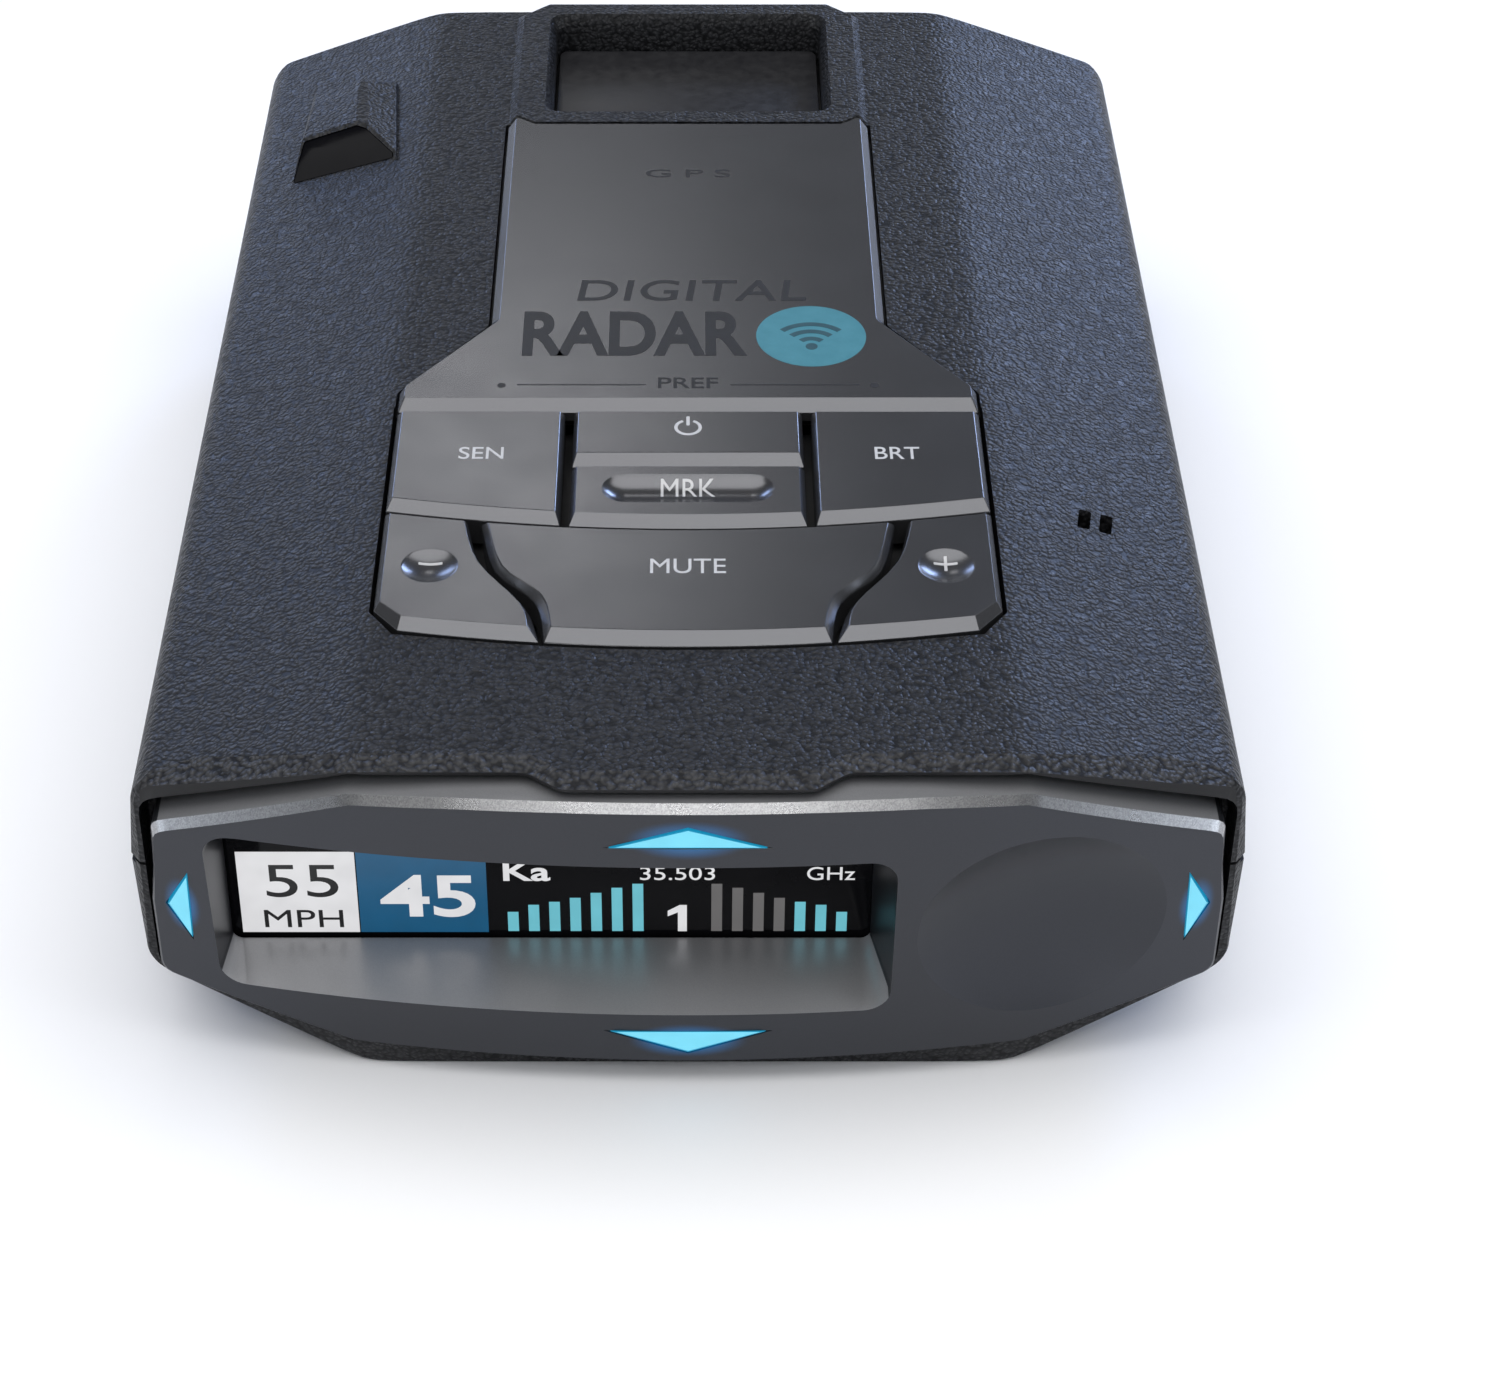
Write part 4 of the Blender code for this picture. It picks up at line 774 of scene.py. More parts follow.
def button_block_outline(margin):
    """Opening in the casing around the seven buttons."""
    half = STRIP_WIDE_HALF + margin
    right = [(half, STRIP_FOOT_Y + 1.0), (half, -43.6), (23.7 + margin, -46.2 - margin)]
    right += [(x, foot_row_two(x) - margin) for x in sweep(16.0, 0.0, 8)]
    return right + mirrored(right[:-1])


def bump_ring(half, z, rear_y):
    """One level of the raised surround of the mount recess."""
    front = STRIP_REAR_Y + 1.5 * GAP
    notch = 0.8 if half < STRIP_HALF else 0.0
    right = [(15.4, front, 0.6), (half, front + 0.6 + notch, 0.3), (half, rear_y - 2.5, 0.5),
             (half - 2.6, rear_y, 0.5)]
    return [(x, y, z) for x, y in rounded(right + mirrored(right), 4)]


def well(name, x, y, low, high, flare, radius, top_radius=None):
    """A rounded block whose top is wider than its bottom."""
    below = rounded_box(x, y, radius)
    above = rounded_box((x[0] - flare, x[1] + flare), (y[0] - flare, y[1] + flare), top_radius or radius)
    return loft(name, at_heights((below, low), (above, high)))


# The sensor hood's outlines are (x, height above the facet); its front face leans back
HOOD_FRONT_Y = 30.7
HOOD_LEAN = 2.0
HOOD_OUTLINE = [(-40.1, -1.0, 0.2), (-29.0, -1.0, 0.2), (-29.2, 0.5, 0.4), (-32.3, 2.39, 0.8),
                (-33.4, 2.71, 0.8), (-39.0, 2.55, 0.5)]
HOOD_BACK = [(-39.5, -1.0, 0.2), (-29.7, -1.0, 0.2), (-30.2, 0.5, 0.4), (-33.0, 2.19, 0.8),
             (-33.8, 2.55, 0.8), (-38.5, 2.45, 0.5)]
HOOD_BACK_FOOT_Y = 46.6
MOUTH_OUTLINE = [(-39.85, 0.05, 0.1), (-29.4, 0.05, 0.1), (-29.5, 0.45, 0.2), (-32.4, 2.15, 0.5),
                 (-33.4, 2.45, 0.5), (-38.8, 2.3, 0.3)]
LENS_OUTLINE = [(-39.75, 0.12, 0.1), (-29.55, 0.12, 0.1), (-29.62, 0.42, 0.2), (-32.43, 2.06, 0.5),
                (-33.42, 2.35, 0.5), (-38.74, 2.2, 0.3)]


def flat_facet_z(x):
    """The facet's plane, without the soft bend at its inner edge."""
    return TOP_Z - FACET_SLOPE * (abs(x) - FLAT_HALF)


def hood_plane(outline, setback):
    """An outline on a plane parallel to the hood's front face, set back along y."""
    return [(x, HOOD_FRONT_Y + HOOD_LEAN * height + setback, flat_facet_z(x) + height)
            for x, height in rounded(outline, 3)]


def hood_prism(name, outline, near, far):
    return loft(name, [hood_plane(outline, near), hood_plane(outline, far)])


def hood_solid():
    """Raised hood over the rearward laser sensor, which slopes down at its back."""
    front = hood_plane(HOOD_OUTLINE, 0.0)
    back = [(x, HOOD_BACK_FOOT_Y - height * 0.75, flat_facet_z(x) + height)
            for x, height in rounded(HOOD_BACK, 3)]
    return loft("sensor_hood", [front, back])


def nose_window(name):
    """The opening for the front window, which both halves share."""
    return upright(name, rounded_box((-13.3, 13.3), (12.7, 22.3), 1.8), 58.0, 70.0)


def build_top_shell():
    shell = casing_form("top_shell_skin")
    steps = [(casing_form("top_cavity", WALL + 0.02, BEZEL_BACK_Y - 1.0), CUT),
             (mouth_tool("top_mouth"), CUT),
             (slab("below_parting", -10, PARTING_Z + GAP / 2), CUT),
             (loft("mount_bump", [bump_ring(STRIP_HALF, 32.8, 61.4), bump_ring(STRIP_HALF, TOP_Z, 61.7),
                                  bump_ring(STRIP_CREST_HALF, PROUD_Z, 61.0)]), JOIN),
             (box("mount_tub", (-16.2, 36.7, 27.0), (16.2, 59.9, 33.6)), JOIN),
             (hood_solid(), JOIN)]
    floor_low = RECESS_FLOOR_Z - 1.0 - GAP
    span_x = (-RECESS_HALF, RECESS_HALF)
    steps += [(well("recess", span_x, RECESS_Y, floor_low, 33.9, 0.0, 1.2), CUT),
              (well("recess_lip", span_x, RECESS_Y, 33.8, 35.2, 0.8, 1.2, 1.9), CUT)]
    pocket = strip_outline(STRIP_HALF + GAP, STRIP_WIDE_HALF + GAP, STRIP_REAR_Y + 1.5 * GAP,
                           STRIP_FOOT_Y - 3.0)
    steps += [(plate("strip_pocket", pocket, 33.1, 36.0), CUT),
              (plate("button_opening", button_block_outline(0.4), 29.0, 36.5), CUT),
              (hood_prism("lens_recess", MOUTH_OUTLINE, -6.0, 1.6), CUT)]
    for index, x in enumerate((34.15, 36.05)):
        slot = [(u + 0.18, v) if v > -28 else (u - 0.18, v)
                for u, v in rounded_box((x - 0.55, x + 0.55), (-29.2, -26.5), 0.2, 2)]
        steps.append((plate(f"sensor_slot_{index}", slot, 24.0, 36.0), CUT))
    steps.append((nose_window("top_nose_window"), CUT))
    carve(shell, *steps)
    shell.name = "top_shell_skin"
    even(soften(shell, 0.13, 2, 30))
    dress(shell, "case", "lip", "smooth_case_and_shade")
    paint_top_shell(shell.data)
    return stand_for(shell, "case_plastic", "top_shell")


def even(made):
    """Lets the large flat faces decide the shading at their edges."""
    weighted = made.modifiers.new("even_normals", "WEIGHTED_NORMAL")
    weighted.keep_sharp = True
    weighted.weight = 60
    return made


def paint_top_shell(mesh):
    """Heavy grain on the front lip, smooth plastic in the recess and the gaps, fine grain elsewhere; the
    lip's forward and downward faces get the darker smooth look as painted shade.
    """
    for face in mesh.polygons:
        x, y, z = face.center / MM
        up = face.normal.z
        front = RIM_Y + RIM_SWEEP * max(0.0, abs(x) - FLAT_HALF)
        in_recess = abs(x) < RECESS_HALF + 0.4 and RECESS_Y[0] - 0.4 < y < RECESS_Y[1] + 0.4
        in_strip = abs(x) < STRIP_WIDE_HALF + 1 and y < STRIP_REAR_Y + 1 and z < TOP_Z - 0.2
        if y < front + rim_depth("top", abs(x)) - 0.05 and z > 26 and 0.35 < up < 0.995:
            face.material_index = 1
        # Painted shade: the lip's forward and downward faces get the darker smooth look.
        elif y < front + 0.5 and z > 26 and up <= 0.35:
            face.material_index = 2
        elif (in_recess and z < RECESS_FLOOR_Z + 0.1) or (in_strip and y > -50) or z < PARTING_Z + 0.3:
            face.material_index = 2


def parting_step():
    """A shallow rebate round the top edge of the lower half."""
    band = slab("parting_step", PARTING_Z - 0.55, PARTING_Z + 2.0)
    depth = 0.35
    rings = [casing_ring(lambda group, x, z: -90.0, depth)] + nose_rings(depth, depth)
    inner = loft("parting_step_inner", rings, pairs=casing_pairs())
    return carve(band, (inner, CUT))


def build_bottom_shell():
    shell = casing_form("bottom_shell_skin")
    steps = [(casing_form("bottom_cavity", WALL, BEZEL_BACK_Y - 1.0), CUT),
             (mouth_tool("bottom_mouth"), CUT),
             (slab("above_parting", PARTING_Z - GAP / 2, 50), CUT),
             (parting_step(), CUT)]
    for screw in SCREW_NODES:
        x, y, _ = middle_of(screw)
        steps += [(cylinder(f"boss_{screw}", 3.6, 4.2, PARTING_Z - 0.2, (x, y, 0)), JOIN),
                  (cylinder(f"bore_{screw}", 1.5, 5.0, 25.0, (x, y, 0)), CUT),
                  (cylinder(f"counterbore_{screw}", 2.8, -2.0, 12.0, (x, y, 0)), CUT)]
    steps.append((plate("label_recess", rounded_box((-18.0, 18.0), (8.0, 32.0), 1.8), -1.0, 0.6), CUT))
    for index in range(7):
        x = (index - 3) * 3.0
        half = math.sqrt(11.5 ** 2 - x * x)
        slot = rounded_box((x - 0.8, x + 0.8), (-28.0 - half, -28.0 + half), 0.75, 4)
        steps.append((plate(f"speaker_slot_{index}", slot, -1.0, 4.0), CUT))
    for name, place in FEET.items():
        steps.append((cylinder(f"foot_dip_{name}", 4.2, -1.0, 0.5, place), CUT))
    steps += [(box("power_socket_window", (-46.0, 17.0, 10.2), (-41.0, 27.0, 17.4)), CUT),
              (box("usb_window", (-46.0, 2.0, 11.2), (-41.0, 10.0, 14.6)), CUT),
              (cylinder("earphone_window", 2.9, -3.0, 3.0, (-43.5, -5.0, 13.6), axis="X"), CUT)]
    steps.append((nose_window("bottom_nose_window"), CUT))
    carve(shell, *steps)
    shell.name = "bottom_shell_skin"
    even(soften(shell, 0.15, 2, 30))
    dress(shell, "case", "smooth_case_and_shade")
    for face in shell.data.polygons:
        x, y, z = face.center / MM
        inside = abs(face.normal.z) < 0.3 and abs(x) < 42.0 and abs(y) < 55.0
        # Painted shade: the front lip under the bezel gets the darker smooth look.
        lip = y < RIM_Y + 0.5 + RIM_SWEEP * max(0.0, abs(x) - FLAT_HALF)
        if inside or lip or z > PARTING_Z - 0.6:
            face.material_index = 1
    return stand_for(shell, "case_plastic", "bottom_shell")


def build_feet():
    """Four thin anti-slip pads sunk in the underside."""
    for name, place in FEET.items():
        pad = cylinder(f"foot_pad_{name}", 3.9, 0.0, 0.45, place, sides=64)
        stand_for(dress(soften(pad, 0.15), "black_plastic"), "black_plastic")


def build_parting_lip():
    """The lip inside the joint between the halves, seen as the dark line in the gap."""
    lip = casing_form("parting_lip", WALL + 0.25, -53.5)
    carve(lip, (casing_form("lip_inside", WALL + 0.85, -54.5), CUT),
          (slab("lip_below", -10, PARTING_Z - 1.0), CUT),
          (slab("lip_above", PARTING_Z + 1.2, 60), CUT),
          (box("lip_front", (-60, -80, -10), (60, -53.0, 60)), CUT),
          (box("lip_nose", (-14.5, 40, 0), (14.5, 80, 40)), CUT))
    stand_for(dress(lip, "smooth_case_and_shade"), "case_plastic")


# ---- bezel

ARROWS = {
    "up": [(-6.2, 28.4), (6.2, 28.4), (0.0, 30.6)],
    "down": [(-6.4, 6.5), (0.0, 3.97), (6.4, 6.5)],
    "left": [(-42.2, 17.35), (-40.5, 13.6), (-40.25, 21.05)],
    "right": [(42.2, 17.4), (40.3, 21.1), (40.6, 13.5)],
}
ARROW_PROUD = 0.18


def grown(outline, amount):
    """Moves an outline's corners away from its middle, or towards it."""
    middle = sum((Vector(point) for point in outline), Vector((0, 0))) / len(outline)
    points = []
    for point in outline:
        away = Vector(point) - middle
        points.append(tuple(middle + away * (1 + amount / min(away.length, 2.2))))
    return points


def arc_block(name, x_span, z_span, depth, back_y):
    """A block whose front follows the bezel's face, a given depth behind it."""
    xs = sweep(*x_span, 24)
    front = [(x, face_y(x, z_span[1]) + depth, z_span[1]) for x in xs]
    front += [(x, face_y(x, z_span[0]) + depth, z_span[0]) for x in reversed(xs)]
    back = [(x, back_y, z) for x, _, z in front]
    return loft(name, [front, back], pairs=len(xs))


def pocket_ring(x, z, y, radii):
    """One outline of the display pocket; radii go round from the lower left corner."""
    corners = zip(((x[0], z[0]), (x[1], z[0]), (x[1], z[1]), (x[0], z[1])), radii)
    return [(u, y, v) for u, v in rounded([(*corner, radius) for corner, radius in corners], 8)]


def build_bezel():
    rings = [bezel_ring(face_y, top_drop=BEZEL_CHAMFER - BEZEL_EDGE, edge=BEZEL_EDGE),
             bezel_ring(lambda x, z: face_y(x, z) + (BEZEL_CHAMFER if z > 18 else BEZEL_EDGE)),
             bezel_ring(lambda x, z: BEZEL_BACK_Y)]
    bezel = loft("bezel_skin", rings, pairs=bezel_pairs())
    hollow = [bezel_ring(lambda x, z: face_y(x, z) + 2.2, grow=-1.25),
              bezel_ring(lambda x, z: BEZEL_BACK_Y + 3.0, grow=-1.25)]
    boss = cylinder("dish_boss", DISH_RADIUS + 1.2, -3.6, 0.0, (0, 0, 0), sides=96)
    boss.data.transform(face_frame(*DISH_CENTRE, depth=1.0))
    radius = (DISH_RADIUS ** 2 + DISH_DEPTH ** 2) / (2 * DISH_DEPTH)
    stretch = Matrix.Diagonal((DISH_STRETCH, 1.0, 1.0, 1.0))
    dish = ball("dish_ball", radius, face_frame(*DISH_CENTRE, depth=DISH_DEPTH - radius) @ stretch, 192, 160)
    rings = [pocket_ring(*POCKET_MOUTH, -70.0, (3.0, 2.6, 2.4, 2.4)),
             pocket_ring(*POCKET_MOUTH, POCKET_BEND_Y, (2.6, 2.2, 2.2, 2.2)),
             pocket_ring(*POCKET_BACK, -54.0, (0.6, 0.6, 0.6, 0.6))]
    pocket = loft("display_pocket", rings)
    steps = [(loft("bezel_hollow", hollow, pairs=bezel_pairs()), CUT),
             (arc_block("display_tub", (-39.75, 17.6), (7.55, 27.25), 1.1, WINDOW_LOW[1] - GAP), JOIN),
             (boss, JOIN), (pocket, CUT), (dish, CUT)]
    for side, outline in ARROWS.items():
        steps.append((face_prism(f"arrow_hole_{side}", grown(outline, 0.2), 3.0, 3.5), CUT))
    carve(bezel, *steps)
    bezel.name = "bezel_skin"
    even(soften(bezel, 0.12, 3, 24))
    dress(bezel, "bezel", "bezel_strip_and_highlight", "bezel_floor_painted_light", "bezel_ledge_painted_light")
    for face in bezel.data.polygons:
        x, y, z = face.center / MM
        ahead, up = -face.normal.y, face.normal.z
        # The front top chamfer gets the bright copy, partly silver tone and partly painted highlight.
        if 0.25 < up < 0.93 and ahead > 0.3 and z > 25 and y < face_y(x, z) + 1.0 and abs(x) < 42.7:
            face.material_index = 1
        # Painted light: the pocket's floor gets the lighter copy of the bezel paint.
        elif -38.9 < x < 16.7 and 8.0 < z < 11.5 and up > 0.3 and y > face_y(x, z) + 0.4:
            face.material_index = 2
        # Painted light: upward faces along the bezel's top get the lighter copy of the paint.
        elif up >= 0.8 and z > 25 and y > face_y(x, z) + 0.3:
            face.material_index = 3
    stand_for(bezel, "bezel_paint", "display_bezel")


def build_arrows():
    """Each arrow is a low wedge of lit plastic in its opening, with a darker lower edge."""
    for side, outline in ARROWS.items():
        rings = []
        for out, shrink, lift in ((-2.6, 0.0, 0.0), (0.02, 0.0, 0.0), (ARROW_PROUD, -0.16, 0.14)):
            rings.append([(x, face_y(x, z) - out, z + lift) for x, z in grown(outline, shrink)])
        lens = loft(f"arrow_{side}", rings)
        soften(lens, 0.03, 2, 20)
        dress(lens, "arrow", "arrow_edge")
        for face in lens.data.polygons:
            if face.normal.z < -0.2 or face.normal.y > -0.5:
                face.material_index = 1
        stand_for(lens, "arrow_lens", f"arrow_lens_{side}")


# ---- lettering and icons

def stencil(name, text, width, height, thick, shear=0.0, spacing=1.0, bold=0.0):
    """Raised text of an exact width and height, centred on the origin in x and y."""
    curve = bpy.data.curves.new(name, "FONT")
    curve.body = text
    curve.size = 10 * MM
    curve.shear = shear
    curve.space_character = spacing
    curve.offset = bold * 10 * MM
    curve.resolution_u = 6
    curve.extrude = thick / 2 * MM
    drawn = new_object(name, curve)
    bpy.context.view_layer.update()
    mesh = bpy.data.meshes.new_from_object(drawn.evaluated_get(bpy.context.evaluated_depsgraph_get()))
    bpy.data.objects.remove(drawn, do_unlink=True)
    low = [min(v.co[i] for v in mesh.vertices) for i in (0, 1)]
    high = [max(v.co[i] for v in mesh.vertices) for i in (0, 1)]
    fit = Matrix.Diagonal((width * MM / (high[0] - low[0]), height * MM / (high[1] - low[1]), 1.0, 1.0))
    centre = Matrix.Translation((-(low[0] + high[0]) / 2, -(low[1] + high[1]) / 2, thick / 2 * MM))
    mesh.transform(fit @ centre)
    bm = bmesh.new()
    bm.from_mesh(mesh)
    bmesh.ops.remove_doubles(bm, verts=bm.verts, dist=0.0000005)
    for face in bm.faces:
        face.smooth = False
    return new_object(name, to_mesh(bm, name))


def flat_shape(name, outline, thick):
    """A closed x-y outline with thickness."""
    return plate(name, outline, 0.0, thick)


def arc_band(name, inner, outer, start, end, thick):
    """Part of a flat ring between two angles in degrees."""
    angles = [math.radians(angle) for angle in sweep(start, end, 24)]
    outline = [(outer * math.cos(a), outer * math.sin(a)) for a in angles]
    outline += [(inner * math.cos(a), inner * math.sin(a)) for a in reversed(angles)]
    return flat_shape(name, outline, thick)


def disc(name, radius, thick, steps=64):
    turns = [2 * math.pi * i / steps for i in range(steps)]
    return flat_shape(name, [(radius * math.cos(a), radius * math.sin(a)) for a in turns], thick)


def fuse(name, *pieces):
    """Several objects' meshes as one object."""
    bm = bmesh.new()
    for piece in pieces:
        bm.from_mesh(piece.data)
        bpy.data.objects.remove(piece, do_unlink=True)
    mesh = bpy.data.meshes.new(name)
    bm.to_mesh(mesh)
    bm.free()
    return new_object(name, mesh)


def put(made, matrix, look, slot, body="casing"):
    """Moves a shape into place and finishes it."""
    made.data.transform(matrix)
    stand_for(dress(made, look), slot, body=body)


INK = 0.015
PRINT_STEP = 0.2


def top_print(name, text, size, centre, look="print_dark", body="casing", **style):
    """Lettering printed on the control strip or on a button."""
    made = stencil(name, text, *size, INK, **style)
    put(made, at(*centre, PROUD_Z), look, "gunmetal_paint", body)


def build_strip_print():
    top_print("print_gps", "GPS", (8.3, 1.5), (0.0, 25.6), spacing=1.5, bold=0.004)
    top_print("print_upper", "DIGITAL", (21.3, 3.6), (0.35, 4.2), spacing=1.05, bold=0.008, shear=0.1)
    top_print("print_lower", "RADAR", (20.5, 7.4), (-4.85, -3.1), bold=0.03)
    top_print("print_pref", "PREF", (5.4, 1.7), (0.0, -11.2), bold=0.01)
    for side, sign in (("left", -1), ("right", 1)):
        rule = flat_shape(f"print_rule_{side}", rounded_box((3.8, 15.3), (-11.58, -11.42), 0.05, 2), INK)
        dot = disc(f"print_dot_{side}", 0.38, INK, 24)
        dot.data.transform(at(16.7, -11.6, 0))
        put(fuse(f"print_line_{side}", rule, dot), at(0, 0, PROUD_Z) @ Matrix.Diagonal((sign, 1, 1, 1)),
            "print_dark", "gunmetal_paint")


def build_badge():
    """A plain round badge with a generic signal mark."""
    put(disc("badge_disc", 5.03, INK), at(11.25, -3.55, PROUD_Z), "badge", "gunmetal_paint")
    waves = [arc_band(f"wave_{r}", r - 0.3, r + 0.3, 45, 135, INK) for r in (1.3, 2.5, 3.7)]
    mark = fuse("badge_mark", *waves, disc("wave_source", 0.55, INK, 24))
    put(mark, at(11.25, -5.3, PROUD_Z + INK), "badge_ink", "gunmetal_paint")


# ---- control strip and buttons

def build_fascia():
    low = strip_outline(STRIP_HALF, STRIP_WIDE_HALF, STRIP_REAR_Y, STRIP_FOOT_Y)
    high = strip_outline(STRIP_CREST_HALF, STRIP_WIDE_HALF - 0.5, STRIP_REAR_Y, STRIP_CREST_Y)
    strip = loft("fascia_skin", at_heights((low, 33.4), (low, TOP_Z), (high, PROUD_Z)))
    even(soften(strip, 0.1, 3, 18))
    stand_for(dress(strip, "gunmetal"), "gunmetal_paint", "control_fascia")


def on_side(outline, sign):
    return outline if sign > 0 else mirrored(outline)


def side_button(sign):
    """Outer button of the first row: its foot and crest outlines."""
    top_y = STRIP_FOOT_Y - 0.4
    foot = [(25.8, top_y), (10.9, top_y)] + [(x, foot_row_one(x)) for x in sweep(10.9, 25.8, 12)]
    crest = [(25.3, top_y - 0.4), (11.3, top_y - 0.4)]
    crest += [(x, crest_row_one(x)) for x in sweep(11.3, 25.3, 12)]
    return on_side(foot, sign), on_side(crest, sign)


def volume_side(points):
    """The curved inner side of the volume buttons, through the given points."""
    path = []
    for i in range(13):
        t = i / 12 * (len(points) - 1)
        k = min(int(t), len(points) - 2)
        before, after = points[max(k - 1, 0)], points[min(k + 2, len(points) - 1)]
        u = t - k
        here = []
        for a, b, c, d in zip(before, points[k], points[k + 1], after):
            here.append(0.5 * (2 * b + (c - a) * u + (2 * a - 5 * b + 4 * c - d) * u * u
                               + (3 * b - a - 3 * c + d) * u ** 3))
        path.append(tuple(here))
    return path


def volume_button(sign):
    """Outer button of the second row, with its curved inner side and cut corner."""
    foot_side = [(12.15, foot_row_two(12.15)), (13.4, -43.2), (17.2, -37.8), (18.7, foot_row_one(18.7) - 0.6)]
    crest_side = [(13.1, crest_row_two(13.1)), (13.85, -43.3), (17.55, -37.7),
                  (18.97, foot_row_one(18.97) - 1.1)]
    foot = volume_side(foot_side) + [(x, foot_row_one(x) - 0.6) for x in (21.0, 23.5, 25.8)]
    foot += [(25.8, -43.6)] + [(x, foot_row_two(x)) for x in (23.7, 21.0, 18.0, 15.0)]
    crest = volume_side(crest_side) + [(x, foot_row_one(x) - 1.1) for x in (21.0, 23.5, 25.3)]
    crest += [(25.3, -43.2)] + [(x, crest_row_two(x)) for x in (23.4, 21.0, 18.0, 15.0)]
    return on_side(foot, sign), on_side(crest, sign)


def power_button():
    top_y = STRIP_FOOT_Y - 0.4
    foot = [(10.1, top_y), (10.1, -23.3), (-10.1, -23.3), (-10.1, top_y)]
    crest = [(9.7, top_y - 0.4), (9.7, -22.0), (-9.7, -22.0), (-9.7, top_y - 0.4)]
    return foot, crest


def mark_button():
    low = [(x, foot_row_one(x)) for x in sweep(10.1, -10.1, 16)]
    high = [(x, crest_row_one(x)) for x in sweep(9.6, -9.6, 16)]
    return [(10.1, -23.8)] + low + [(-10.1, -23.8)], [(9.6, -24.1)] + high + [(-9.6, -24.1)]


def mute_button():
    foot_side = [(17.55, foot_row_one(17.55) - 0.6), (16.1, -38.3), (12.6, -42.6), (11.7, foot_row_two(11.7))]
    crest_side = [(16.95, foot_row_one(16.95) - 1.1), (15.5, -38.3), (12.05, -42.3),
                  (11.15, crest_row_two(11.15))]
    low_xs = sweep(9.6, -9.6, 16)
    high_xs = sweep(-13.6, 13.6, 16)
    foot, crest = volume_side(foot_side), volume_side(crest_side)
    foot = foot + [(x, foot_row_two(x)) for x in low_xs] + mirrored(foot)
    crest = crest + [(x, crest_row_two(x)) for x in low_xs] + mirrored(crest)
    foot += [(x, foot_row_one(x) - 0.6) for x in high_xs]
    crest += [(x, foot_row_one(x) - 1.1) for x in high_xs]
    return foot, crest


BUTTONS = {
    "sensitivity": side_button(-1),
    "brightness": side_button(1),
    "power": power_button(),
    "mark": mark_button(),
    "minus": volume_button(-1),
    "plus": volume_button(1),
    "mute": mute_button(),
}
SCOOP_HALF = 5.35
SCOOP_WIDTH = 4.1
SCOOP_DEPTH = 0.8
SCOOP_Y = -27.3
DIMPLE_RADIUS = 2.35
DIMPLE_DEPTH = 0.7
DIMPLE_X = 21.5
DIMPLE_Y = -38.3


def dip_radius(half_width, depth):
    return (half_width ** 2 + depth ** 2) / (2 * depth)


def scoop_tool():
    """A round-ended trough for the mark button."""
    radius = dip_radius(SCOOP_WIDTH / 2, SCOOP_DEPTH)
    height = PROUD_Z - SCOOP_DEPTH + radius
    bm = bmesh.new()
    bmesh.ops.create_uvsphere(bm, u_segments=96, v_segments=192, radius=radius * MM)
    bmesh.ops.rotate(bm, matrix=Matrix.Rotation(math.pi / 2, 3, "Y"), verts=bm.verts)
    for vert in bm.verts:
        if abs(vert.co.x) > 0.00001:
            vert.co.x += math.copysign(SCOOP_HALF * MM, vert.co.x)
    bmesh.ops.translate(bm, vec=Vector((0, SCOOP_Y, height)) * MM, verts=bm.verts)
    return new_object("scoop_tool", to_mesh(bm, "scoop_tool"))


def build_buttons():
    for name, (foot, crest) in BUTTONS.items():
        low = cad(f"button_{name}")[0][2] + 2.9
        cap = loft(f"key_{name}", at_heights((foot, low), (foot, TOP_Z), (crest, PROUD_Z)))
        if name == "mark":
            carve(cap, (scoop_tool(), CUT), solver="EXACT")
        if name in ("minus", "plus"):
            sign = 1 if name == "plus" else -1
            radius = dip_radius(DIMPLE_RADIUS, DIMPLE_DEPTH)
            centre = at(sign * DIMPLE_X, DIMPLE_Y, PROUD_Z - DIMPLE_DEPTH + radius)
            carve(cap, (ball(f"dimple_{name}", radius, centre, 128, 160), CUT), solver="EXACT")
        stem_x, stem_y, _ = middle_of(f"switch_{name}")
        stem = box(f"stem_{name}", (stem_x - 1.5, stem_y - 1.5, low - 2.9),
                   (stem_x + 1.5, stem_y + 1.5, low + 0.5))
        carve(cap, (stem, JOIN), solver="EXACT")
        cap.name = f"key_{name}"
        even(soften(cap, 0.09, 3, 18))
        stand_for(dress(cap, "gunmetal"), "gunmetal_paint", f"button_{name}", body=f"{name}_button")


def build_button_print():
    silver = {"look": "print_silver", "bold": 0.004}
    top_print("print_sen", "SEN", (3.9, 1.8), (-18.0, -22.1), body="sensitivity_button", **silver)
    top_print("print_brt", "BRT", (3.9, 1.8), (18.2, -22.1), body="brightness_button", **silver)
    top_print("print_mute", "MUTE", (6.3, 2.0), (0.0, -38.4), body="mute_button", look="print_silver")
    ring = arc_band("power_ring", 0.92, 1.22, 115, 425, INK)
    bar = flat_shape("power_bar", rounded_box((-0.15, 0.15), (0.3, 1.7), 0.1, 2), INK)
    put(fuse("print_power", ring, bar), at(0, -18.2, PROUD_Z), "print_silver", "gunmetal_paint",
        "power_button")
    build_scoop_print()
    build_volume_print()


def drape(made, surface_z):
    """Lays a flat print onto a curved surface given as a height for each x and y."""
    for vert in made.data.vertices:
        x, y, z = vert.co / MM
        vert.co.z = (surface_z(x, y) + z) * MM
    return made


